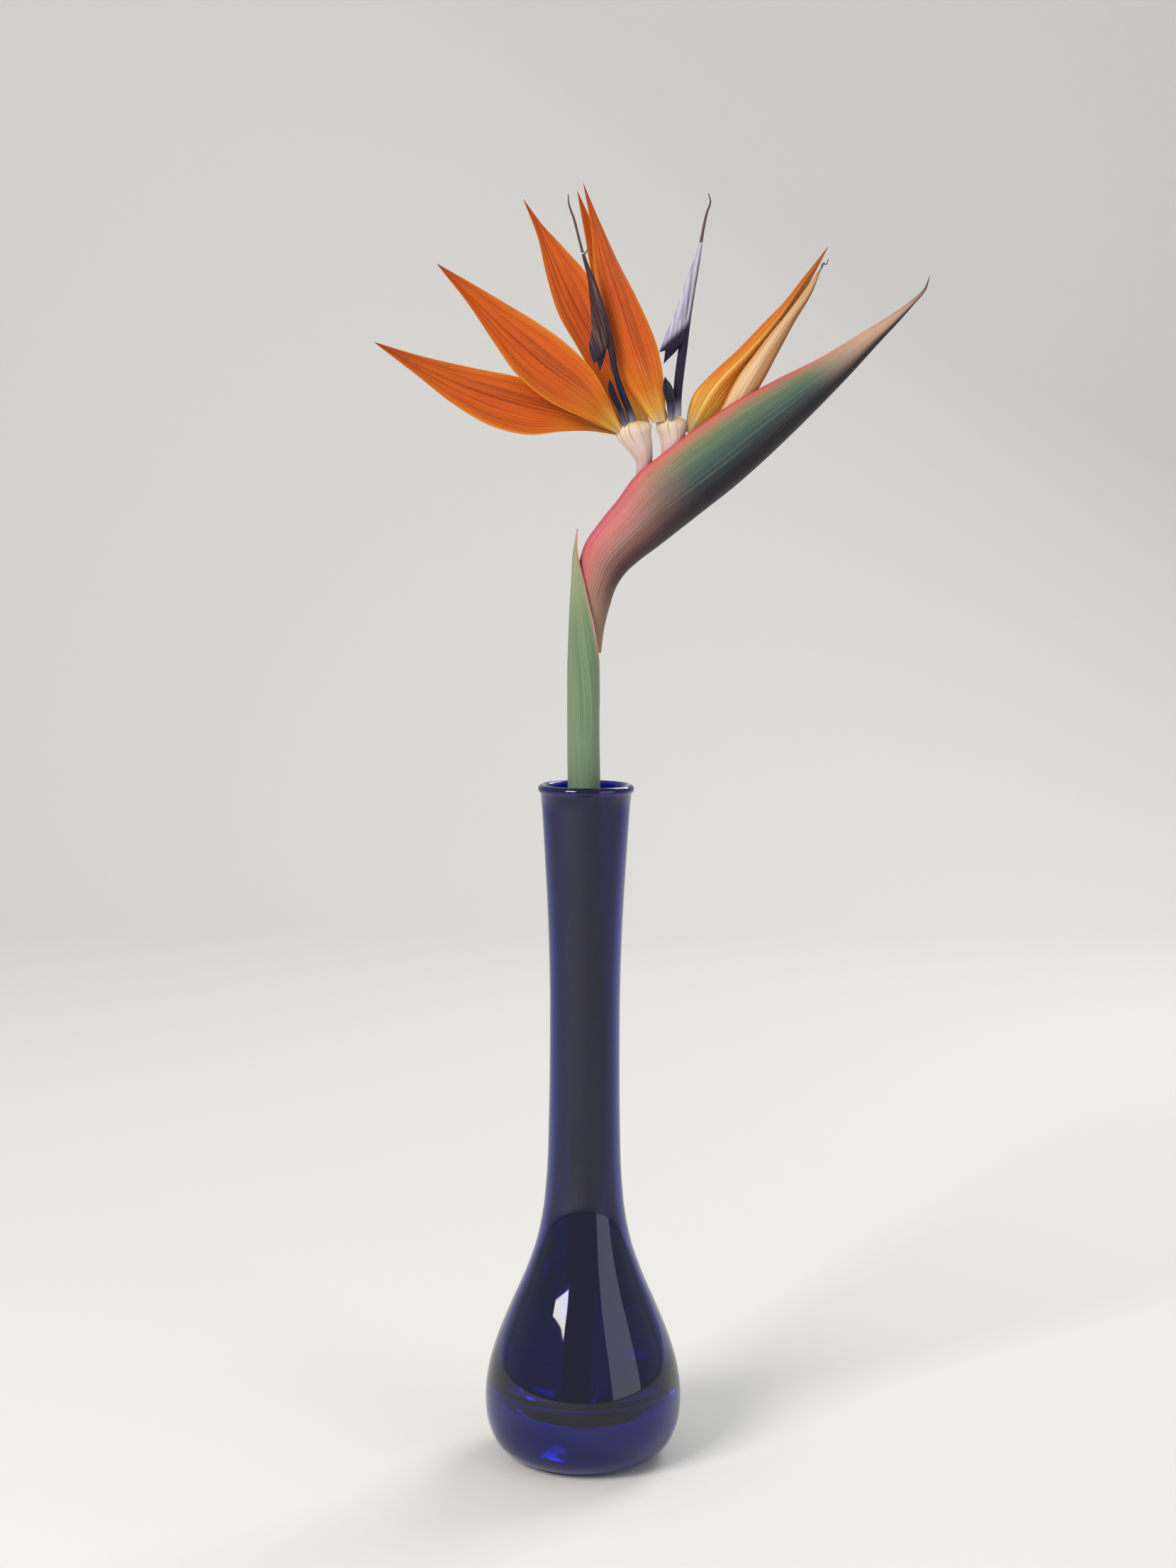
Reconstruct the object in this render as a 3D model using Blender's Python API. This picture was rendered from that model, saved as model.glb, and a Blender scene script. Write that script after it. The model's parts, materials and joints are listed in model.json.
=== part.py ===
"""Bird of paradise flower (Strelitzia reginae) standing in a tall glass bottle vase.

Every length below is in millimetres and becomes metres as its mesh is made. The origin is the centre of
the vase's flat foot, +Z is up, and the beak of the flower points to +X.
"""

import math

import bmesh
import bpy
import numpy as np

MM = 0.001
GAP = 0.3  # clearance between pieces that touch

# Vase
VASE_HEIGHT = 290.0
VASE_FOOT_RADIUS = 24.5
VASE_WALL = 3.0
RIM_BEAD_RADIUS = 1.9
RIM_OUTER_RADIUS = 20.3
CAVITY_FLOOR = 18.0
VASE_SIDES = 36
WATER_LEVEL = 190.0
WATER_GAP = 0.4

# Stalk and the bracts around it
STALK_RADIUS = 6.8
SHEATH_WALL = 1.0
SHEATH_FOOT = 236.4
SPATHE_WALL = 1.1
RACHIS_END = (19.0, 5.2, 397.5)  # centre of the stalk's rounded end inside the beak
RACHIS_RADIUS = 4.4

# Thickness of the floret's leaves
SEPAL_THICK = 1.1
LOBE_THICK = 1.7


# ---------------------------------------------------------------- shared tools


def smooth(points, count):
    """count + 1 evenly spaced points of the smooth curve through the given points, one per row.

    Columns after the third, such as radii, are carried along in the same way."""
    knots = np.array(points, float)
    span = np.linalg.norm(np.diff(knots[:, :3], axis=0), axis=1)
    at = np.concatenate([[0.0], np.cumsum(span)])
    slope = np.gradient(knots, at, axis=0)
    t = np.linspace(0.0, at[-1], count + 1)
    k = np.clip(np.searchsorted(at, t, side="right") - 1, 0, len(span) - 1)
    h = span[k][:, None]
    s = ((t - at[k]) / span[k])[:, None]
    rise = knots[k] * (1 + 2 * s) * (1 - s) ** 2 + knots[k + 1] * s * s * (3 - 2 * s)
    return rise + h * (slope[k] * s * (1 - s) ** 2 - slope[k + 1] * s * s * (1 - s))


def unit(vectors):
    """Vectors scaled to length one."""
    return vectors / np.linalg.norm(vectors, axis=-1, keepdims=True)


def material(name, color, roughness=0.5, metallic=0.0):
    """A Principled material of one colour."""
    made = bpy.data.materials.new(name)
    made.use_nodes = True
    shader = made.node_tree.nodes["Principled BSDF"]
    shader.inputs["Base Color"].default_value = (*color, 1.0)
    shader.inputs["Roughness"].default_value = roughness
    shader.inputs["Metallic"].default_value = metallic
    return made


def add_object(name, bm, surface):
    """Turns a bmesh in millimetres into a smooth-shaded object with its own material."""
    bmesh.ops.remove_doubles(bm, verts=bm.verts, dist=1e-4)
    bmesh.ops.triangulate(bm, faces=[f for f in bm.faces if len(f.verts) > 4])
    bmesh.ops.recalc_face_normals(bm, faces=bm.faces)
    bmesh.ops.scale(bm, vec=(MM, MM, MM), verts=bm.verts)
    mesh = bpy.data.meshes.new(name)
    bm.to_mesh(mesh)
    bm.free()
    mesh.shade_smooth()
    mesh.set_sharp_from_angle(angle=math.radians(40))
    made = bpy.data.objects.new(name, mesh)
    bpy.context.scene.collection.objects.link(made)
    if surface:
        mesh.materials.append(surface)
    return made


def boolean(target, cutter, operation):
    """Joins or cuts target with cutter, which is then only a guide."""
    step = target.modifiers.new(operation.lower(), "BOOLEAN")
    step.operation = operation
    step.solver = "EXACT"
    step.object = cutter
    cutter.hide_render = True
    cutter.display_type = "WIRE"


def shell(name, outer, inner, surface):
    """A closed sheet between two grids of points. Rows run along it, and its last row is one tip."""
    bm = bmesh.new()
    rows, columns = outer.shape[0] - 1, outer.shape[1]
    out = [[bm.verts.new(p) for p in row] for row in outer[:rows]]
    inn = [[bm.verts.new(p) for p in row] for row in inner[:rows]]
    tip = bm.verts.new(outer[-1][columns // 2])
    for i in range(rows):
        for j in range(columns - 1):
            for side, step in ((out, 1), (inn, -1)):
                low = [side[i][j], side[i][j + 1]][::step]
                high = [side[i + 1][j + 1], side[i + 1][j]][::step] if i + 1 < rows else [tip]
                bm.faces.new(low + high)
        for j in (0, columns - 1):
            high = [inn[i + 1][j], out[i + 1][j]] if i + 1 < rows else [tip]
            bm.faces.new([out[i][j], inn[i][j]] + high)
    for j in range(columns - 1):
        bm.faces.new([out[0][j], out[0][j + 1], inn[0][j + 1], inn[0][j]])
    return add_object(name, bm, surface)


def leaf(name, edge, rib, far_edge, thick, surface, rows=14, across=6, crease=0.4):
    """A blade with a midrib: three curves from its base to one shared tip.

    crease is 0 for a smooth trough across the blade and 1 for a sharp fold at the rib. The blade is
    thickest at the rib and thins to a third at its edges."""
    a, m, b = (smooth(line, rows)[:, None, :] for line in (edge, rib, far_edge))
    u = np.linspace(-1.0, 1.0, across + 1)[None, :, None]
    folded = m + np.abs(u) * (np.where(u < 0, a, b) - m)
    trough = m + u * (b - a) / 2 + u * u * ((a + b) / 2 - m)
    middle = crease * folded + (1 - crease) * trough
    along = np.gradient(middle, axis=0)
    side = np.gradient(middle, axis=1)
    side[-1] = side[-2]
    along[-1] = along[-2]
    normal = unit(np.cross(along, side))
    width = np.linalg.norm(b - a, axis=2, keepdims=True)
    half = np.minimum(thick / 2, 0.2 * width + 0.1) * (1 - 0.65 * u * u)
    return shell(name, middle + normal * half, middle - normal * half, surface)


def tube(name, path, surface, rows=16, sides=12):
    """A closed bar along a path of (x, y, z, half width, half depth). Its width lies in the XZ plane."""
    line = smooth(path, rows)
    centre, wide, deep = line[:, :3], line[:, 3], line[:, 4]
    along = unit(np.gradient(centre, axis=0))
    across = unit(np.cross(along, (0.0, 1.0, 0.0)))
    back = np.cross(across, along)
    bm = bmesh.new()
    rings = []
    for i in range(rows + 1):
        ring = []
        for j in range(sides):
            turn = 2 * math.pi * j / sides
            arm = across[i] * wide[i] * math.cos(turn) + back[i] * deep[i] * math.sin(turn)
            ring.append(bm.verts.new(centre[i] + arm))
        rings.append(ring)
    for low, high in zip(rings, rings[1:]):
        for j in range(sides):
            k = (j + 1) % sides
            bm.faces.new([low[j], low[k], high[k], high[j]])
    bm.faces.new(rings[0][::-1])
    bm.faces.new(rings[-1])
    return add_object(name, bm, surface)


def turned(name, profile, surface, sides=VASE_SIDES):
    """A solid of revolution about Z, from a closed profile of (radius, height) that starts on the axis."""
    bm = bmesh.new()
    verts = [bm.verts.new((r, 0.0, z)) for r, z in profile]
    edges = [bm.edges.new(pair) for pair in zip(verts, verts[1:])]
    bmesh.ops.spin(
        bm,
        geom=verts + edges,
        cent=(0, 0, 0),
        axis=(0, 0, 1),
        angle=2 * math.pi,
        steps=sides,
        use_merge=True,
    )
    return add_object(name, bm, surface)


# ---------------------------------------------------------------- vase and water

# The outer side, from the edge of the flat foot up to the start of the rim's bead
VASE_SIDE = [
    (VASE_FOOT_RADIUS, 0.0),
    (31.5, 2.2),
    (37.0, 6.8),
    (40.6, 14.5),
    (42.0, 27.0),
    (40.4, 40.0),
    (37.0, 51.5),
    (31.6, 65.0),
    (25.1, 80.0),
    (20.8, 92.0),
    (17.9, 105.0),
    (16.1, 122.0),
    (15.2, 148.0),
    (14.9, 178.0),
    (15.0, 205.0),
    (15.8, 232.0),
    (17.2, 258.0),
    (18.6, 281.0),
]


def flat_curve(points, count):
    """A smooth curve through (radius, height) points."""
    return smooth([(r, 0.0, z) for r, z in points], count)[:, [0, 2]]


def cavity_wall(count, inset=0.0):
    """The hollow's wall from the axis on its floor up to just under the rim, moved in by inset."""
    neck = [(r - VASE_WALL - inset, z) for r, z in VASE_SIDE if z > 60.0]
    bowl = [
        (0.0, CAVITY_FLOOR + inset),
        (12.0, CAVITY_FLOOR + 1.0 + inset),
        (24.0, CAVITY_FLOOR + 5.0 + inset),
        (33.6 - inset, CAVITY_FLOOR + 14.0),
        (36.0 - inset, CAVITY_FLOOR + 23.0),
        (33.7 - inset, 51.5),
    ]
    return flat_curve(bowl + neck, count)


def build_vase():
    bead_centre = (RIM_OUTER_RADIUS - RIM_BEAD_RADIUS, VASE_HEIGHT - RIM_BEAD_RADIUS)
    bead = []
    for degrees in range(-60, 241, 30):
        turn = math.radians(degrees)
        r = bead_centre[0] + RIM_BEAD_RADIUS * math.cos(turn)
        z = bead_centre[1] + RIM_BEAD_RADIUS * math.sin(turn)
        bead.append((r, z))
    outside = [tuple(p) for p in flat_curve(VASE_SIDE, 25)]
    inside = [tuple(p) for p in cavity_wall(20)]
    profile = [(0.0, 0.0)] + outside + bead + inside[::-1]
    glass = material("cobalt_glass", (0.01, 0.02, 0.16), 0.05)
    return turned("vase", profile, glass)


def build_water():
    """The water keeps a small gap to the glass and to the stalk that stands in it."""
    wall = [p for p in cavity_wall(40, WATER_GAP) if p[1] < WATER_LEVEL - 3.0][::2]
    radius = cavity_wall(400, WATER_GAP)
    surface_radius = float(radius[np.argmin(np.abs(radius[:, 1] - WATER_LEVEL))][0])
    profile = [tuple(p) for p in wall] + [(surface_radius, WATER_LEVEL), (0.0, WATER_LEVEL)]
    water = turned("water", profile, material("water", (0.35, 0.5, 0.6), 0.02))
    grow = GAP + 0.1
    path = [(x, y, z, w + grow, d + grow) for x, y, z, w, d in STALK_PATH if z < WATER_LEVEL + 60]
    x, y, z = path[0][:3]
    path[0] = (x, y, z - GAP, path[0][3], path[0][4])
    hole = tube("water_hole", path, None, rows=14, sides=14)
    boolean(water, hole, "DIFFERENCE")
    return water


# ---------------------------------------------------------------- stalk, sheath and beak

# (x, y, z, half width, half depth): cut end on the vase's floor, leaning on the neck, elbow, rounded end
STALK_PATH = [
    (-2.5, -4.6, 19.8, STALK_RADIUS, STALK_RADIUS),
    (-1.4, -2.4, 60.0, STALK_RADIUS, STALK_RADIUS),
    (0.8, 1.5, 130.0, STALK_RADIUS, STALK_RADIUS),
    (1.4, 3.1, 180.0, STALK_RADIUS, STALK_RADIUS),
    (1.0, 4.2, 222.0, STALK_RADIUS, STALK_RADIUS),
    (0.7, 4.5, 233.0, STALK_RADIUS, STALK_RADIUS),
]
SCAPE_ABOVE = [
    (0.6, 4.6, 235.6, 5.3, 5.3),
    (0.2, 4.7, 250.0, 5.3, 5.3),
    (-1.0, 5.0, 290.0, 5.3, 5.3),
    (-1.3, 5.0, 332.0, 5.3, 5.3),
    (-1.0, 5.0, 338.0, 5.0, 5.0),
    (-0.3, 5.0, 343.5, 4.4, 4.4),
    (0.5, 5.0, 355.5, 4.4, 4.4),
    (2.4, 5.0, 367.0, 4.5, 4.5),
    (5.6, 5.0, 377.5, 4.5, 4.5),
    (11.4, 5.0, 388.8, 4.5, 4.5),
]


def build_scape():
    """The round stalk; its top bends over in the elbow and ends in a dome that the florets stand on."""
    start, end = np.array(SCAPE_ABOVE[-1][:3]), np.array(RACHIS_END)
    way = (end - start) / np.linalg.norm(end - start)
    dome = []
    for degrees in (0, 30, 55, 75, 88):
        turn = math.radians(degrees)
        place = end + way * RACHIS_RADIUS * math.sin(turn)
        dome.append((*place, RACHIS_RADIUS * math.cos(turn), RACHIS_RADIUS * math.cos(turn)))
    green = material("stalk_green", (0.10, 0.17, 0.08), 0.5)
    return tube("scape", STALK_PATH + SCAPE_ABOVE + dome, green, rows=46, sides=12)


# Centre x, radius and half opening in degrees of the sheath, by height; it opens to +X
SHEATH = [
    (0.5, 4.6, SHEATH_FOOT, 6.9, 3.0),
    (0.2, 4.7, 250.0, 6.9, 3.0),
    (-0.9, 5.0, 290.0, 6.9, 3.0),
    (-1.3, 5.0, 325.0, 6.9, 3.0),
    (-1.1, 5.0, 337.0, 7.1, 22.0),
    (-0.3, 5.0, 346.0, 7.7, 48.0),
    (0.4, 5.0, 356.0, 8.1, 70.0),
    (1.0, 5.0, 366.0, 8.3, 92.0),
    (1.9, 5.0, 376.0, 8.6, 115.0),
    (2.4, 5.0, 386.0, 8.6, 145.0),
    (2.0, 5.0, 392.0, 7.2, 168.0),
    (-3.9, 5.0, 397.3, 0.4, 178.0),
]


def build_sheath():
    rows, columns = 20, 18
    line = smooth(SHEATH, rows)
    outer, inner = np.zeros((2, rows + 1, columns + 1, 3))
    for i, (x, y, z, radius, opening) in enumerate(line):
        wall = min(SHEATH_WALL, 0.12 * radius + 0.16)
        for j in range(columns + 1):
            turn = math.radians(opening + (360 - 2 * opening) * j / columns)
            arm = np.array((math.cos(turn), math.sin(turn), 0.0))
            outer[i, j] = (x, y, z) + arm * radius
            inner[i, j] = (x, y, z) + arm * (radius - wall)
    outer[-1] = line[-1][:3]
    return shell("sheath", outer, inner, material("sheath_green", (0.13, 0.22, 0.12), 0.55))


# Keel, then margin, as (x, z), with the half depth there and half the gap between the two margins
SPATHE = [
    ((6.0, 345.0), (-6.3, 345.0), 5.75, 0.25),
    ((7.3, 355.0), (-6.0, 356.5), 6.1, 0.25),
    ((9.7, 365.0), (-5.3, 368.0), 6.8, 0.25),
    ((12.2, 372.4), (-4.0, 379.0), 7.6, 0.25),
    ((16.3, 378.6), (-1.2, 390.3), 8.5, 0.25),
    ((21.8, 383.6), (5.2, 399.8), 9.3, 0.25),
    ((29.0, 389.0), (12.4, 408.8), 10.0, 0.6),
    ((37.2, 395.4), (19.6, 418.6), 10.6, 4.4),
    ((47.2, 403.3), (30.8, 427.8), 10.8, 6.2),
    ((62.4, 415.4), (44.2, 438.2), 10.6, 6.4),
    ((78.0, 429.5), (60.8, 449.4), 9.8, 6.4),
    ((93.6, 444.8), (78.4, 459.0), 8.0, 3.6),
    ((109.2, 461.0), (97.2, 468.6), 5.8, 0.6),
    ((122.2, 475.4), (113.4, 478.4), 3.9, 0.25),
    ((129.6, 483.4), (124.8, 485.5), 2.5, 0.2),
    ((136.2, 491.0), (134.2, 492.0), 1.3, 0.15),
    ((141.0, 496.9), (140.2, 497.6), 0.6, 0.1),
    ((142.6, 503.0), (142.4, 503.0), 0.2, 0.05),
]
SPATHE_DEPTH_AT_ELBOW = 5.0
SPATHE_DEPTH_AT_TIP = 14.0


def spathe_rows(line, columns, inset):
    """One grid of points of the beak: each row runs from margin to margin round the keel."""
    grid = np.zeros((len(line), columns + 1, 3))
    for i, (kx, _, kz, mx, mz, depth, gap) in enumerate(line):
        keel, margin = np.array((kx, 0.0, kz)), np.array((mx, 0.0, mz))
        height = np.linalg.norm(margin - keel)
        wall = min(inset, 0.18 * height, 0.35 * depth)
        up = (margin - keel) / height
        share = np.clip(((kx + mx) / 2 - 10.0) / 132.0, 0.0, 1.0)
        centre_y = SPATHE_DEPTH_AT_ELBOW + (SPATHE_DEPTH_AT_TIP - SPATHE_DEPTH_AT_ELBOW) * share
        for j in range(columns + 1):
            t = 2 * j / columns - 1
            turn = math.pi * abs(t)
            side = (depth - wall) * math.sin(turn) ** 0.9 + gap * abs(t) ** 3
            rise = wall + (height - 2 * wall) * (1 - math.cos(turn)) / 2
            grid[i, j] = keel + up * rise
            grid[i, j, 1] = centre_y + math.copysign(side, t)
    return grid


def build_spathe():
    """The beak: a folded bract round the stalk's end, open along the top where the florets come out."""
    stations = [(k[0], 0.0, k[1], m[0], m[1], depth, gap) for k, m, depth, gap in SPATHE]
    line = smooth(stations, 30)
    outer = spathe_rows(line, 16, 0.0)
    inner = spathe_rows(line, 16, SPATHE_WALL)
    return shell("spathe", outer, inner, material("spathe_green", (0.12, 0.14, 0.11), 0.5))


# ---------------------------------------------------------------- florets


def from_rachis(degrees, end_radius=1.3):
    """Where a floret's tube stands on the stalk's dome, at an angle from +X towards +Z."""
    turn = math.radians(degrees)
    reach = RACHIS_RADIUS + GAP + 0.1
    x, y, z = RACHIS_END
    return (x + reach * math.cos(turn), y, z + reach * math.sin(turn), end_radius, end_radius)


def build_floret_a(orange, white, navy, dark):
    tube(
        "floret_a_base",
        [
            from_rachis(108),
            (18.4, 5.4, 406.0, 1.9, 2.1),
            (21.0, 5.4, 413.0, 2.5, 2.8),
            (23.2, 5.2, 420.0, 3.0, 3.3),
            (23.4, 4.8, 425.5, 3.6, 3.7),
            (22.2, 4.2, 430.0, 5.0, 4.2),
            (20.2, 3.6, 434.5, 6.7, 4.5),
            (19.1, 3.2, 437.4, 7.8, 4.6),
        ],
        white,
        rows=12,
    )
    leaf(
        "sepal_a_lower",
        [
            (11.4, 2.4, 435.7),
            (1.0, -0.5, 437.0),
            (-11.0, -4.0, 436.5),
            (-24.0, -8.0, 435.0),
            (-38.5, -12.0, 438.0),
            (-53.5, -16.0, 446.0),
            (-70.0, -20.0, 458.5),
            (-86.5, -24.0, 471.0),
        ],
        [
            (12.2, 3.6, 436.2),
            (-9.0, -1.0, 443.0),
            (-29.0, -6.5, 447.5),
            (-48.5, -12.5, 453.5),
            (-68.0, -18.0, 461.5),
            (-86.5, -24.0, 471.0),
        ],
        [
            (13.0, 5.0, 437.0),
            (3.0, 0.6, 448.0),
            (-14.0, -4.0, 454.5),
            (-29.0, -8.0, 458.5),
            (-48.5, -13.0, 462.0),
            (-68.0, -19.0, 466.0),
            (-86.5, -24.0, 471.0),
        ],
        SEPAL_THICK,
        orange,
    )
    leaf(
        "sepal_a_middle",
        [
            (12.8, 1.4, 435.7),
            (-2.0, -7.0, 442.0),
            (-16.0, -11.0, 448.5),
            (-29.0, -14.0, 459.0),
            (-38.5, -16.0, 472.0),
            (-48.5, -17.0, 486.5),
            (-61.5, -18.0, 503.0),
        ],
        [
            (13.6, 1.0, 436.4),
            (1.0, -4.0, 449.5),
            (-19.0, -9.5, 464.0),
            (-38.5, -13.5, 481.0),
            (-61.5, -18.0, 503.0),
        ],
        [
            (14.4, 0.4, 437.4),
            (8.4, -2.6, 450.4),
            (1.0, -6.0, 462.5),
            (-9.0, -9.0, 472.0),
            (-19.0, -11.5, 479.0),
            (-33.5, -14.0, 487.5),
            (-48.5, -16.0, 496.0),
            (-61.5, -18.0, 503.0),
        ],
        SEPAL_THICK,
        orange,
    )
    leaf(
        "sepal_a_back",
        [
            (15.0, 7.2, 437.7),
            (6.0, 9.0, 453.5),
            (-4.5, 11.0, 472.0),
            (-12.5, 12.0, 486.0),
            (-17.5, 13.0, 501.5),
            (-21.5, 14.0, 518.0),
            (-27.5, 15.0, 533.5),
        ],
        [
            (18.0, 8.0, 438.3),
            (6.0, 11.5, 465.0),
            (-6.5, 14.0, 491.5),
            (-17.5, 15.0, 515.0),
            (-27.5, 15.0, 533.5),
        ],
        [
            (21.0, 7.4, 439.1),
            (15.0, 9.5, 462.5),
            (7.0, 10.5, 484.0),
            (0.0, 11.0, 501.0),
            (-11.5, 13.0, 514.5),
            (-19.5, 14.0, 523.0),
            (-27.5, 15.0, 533.5),
        ],
        SEPAL_THICK,
        orange,
    )
    spine = [
        (19.0, 2.6, 438.0, 1.6, 1.5),
        (17.0, 0.5, 445.5, 1.5, 1.5),
        (14.0, -2.0, 452.5, 1.4, 1.5),
        (11.0, -4.5, 461.5, 1.3, 1.5),
        (9.5, -6.0, 469.5, 1.5, 1.7),
        (7.0, -7.5, 479.5, 1.9, 2.0),
        (4.2, -8.5, 489.0, 1.7, 1.9),
        (0.6, -9.5, 499.0, 1.2, 1.4),
        (-2.3, -10.0, 508.0, 0.6, 0.7),
    ]
    arrow = tube("arrow_a", spine, navy, rows=14, sides=10)
    for name, shift, tip in (
        ("arrow_a_near_lobe", -1.0, (2.3, -8.6, 464.0)),
        ("arrow_a_far_lobe", 1.0, (4.8, -6.4, 461.0)),
    ):
        y = -9.0 + shift
        lobe = leaf(
            name,
            [
                (-2.6, -10.0, 506.5),
                (-0.6, y - 0.4, 499.0),
                (0.6, y, 489.0),
                (1.4, y, 479.0),
                (1.4 + shift, y + 0.4, 469.5),
                tip,
            ],
            [
                (-2.1, -10.0, 506.5),
                (1.0, y, 499.0),
                (3.2, y - 0.3 * shift, 489.0),
                (5.2, y, 479.0),
                (5.0, y + 0.6, 469.5),
                tip,
            ],
            [
                (-1.6, -10.0, 506.5),
                (2.2, y + 0.2, 499.0),
                (5.6, y + 0.5, 489.0),
                (8.0, y + 1.2, 479.5),
                (7.4, y + 1.6, 470.5),
                tip,
            ],
            LOBE_THICK,
            None,
            rows=10,
            across=4,
        )
        boolean(arrow, lobe, "UNION")
    leaf(
        "nectary_a",
        [
            (15.0, 1.6, 436.8),
            (13.4, -0.6, 442.5),
            (10.2, -3.8, 449.5),
            (8.4, -4.8, 454.5),
            (8.8, -5.6, 458.0),
        ],
        [
            (15.8, 1.0, 437.0),
            (14.2, -1.8, 443.5),
            (10.4, -5.2, 450.5),
            (9.4, -6.0, 455.0),
            (8.8, -5.6, 458.0),
        ],
        [
            (16.8, 1.4, 437.2),
            (15.0, -1.8, 444.5),
            (12.0, -5.4, 450.9),
            (10.2, -6.4, 455.5),
            (8.8, -5.6, 458.0),
        ],
        LOBE_THICK * 0.7,
        navy,
        rows=8,
        across=4,
    )
    tube(
        "stigma_a",
        [
            (-2.5, -10.1, 508.5, 0.6, 0.6),
            (-4.4, -11.0, 515.5, 0.5, 0.5),
            (-6.0, -12.0, 521.5, 0.5, 0.5),
            (-8.2, -13.0, 527.8, 0.35, 0.35),
            (-8.5, -13.0, 531.5, 0.2, 0.2),
        ],
        dark,
        rows=8,
        sides=6,
    )


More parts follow.
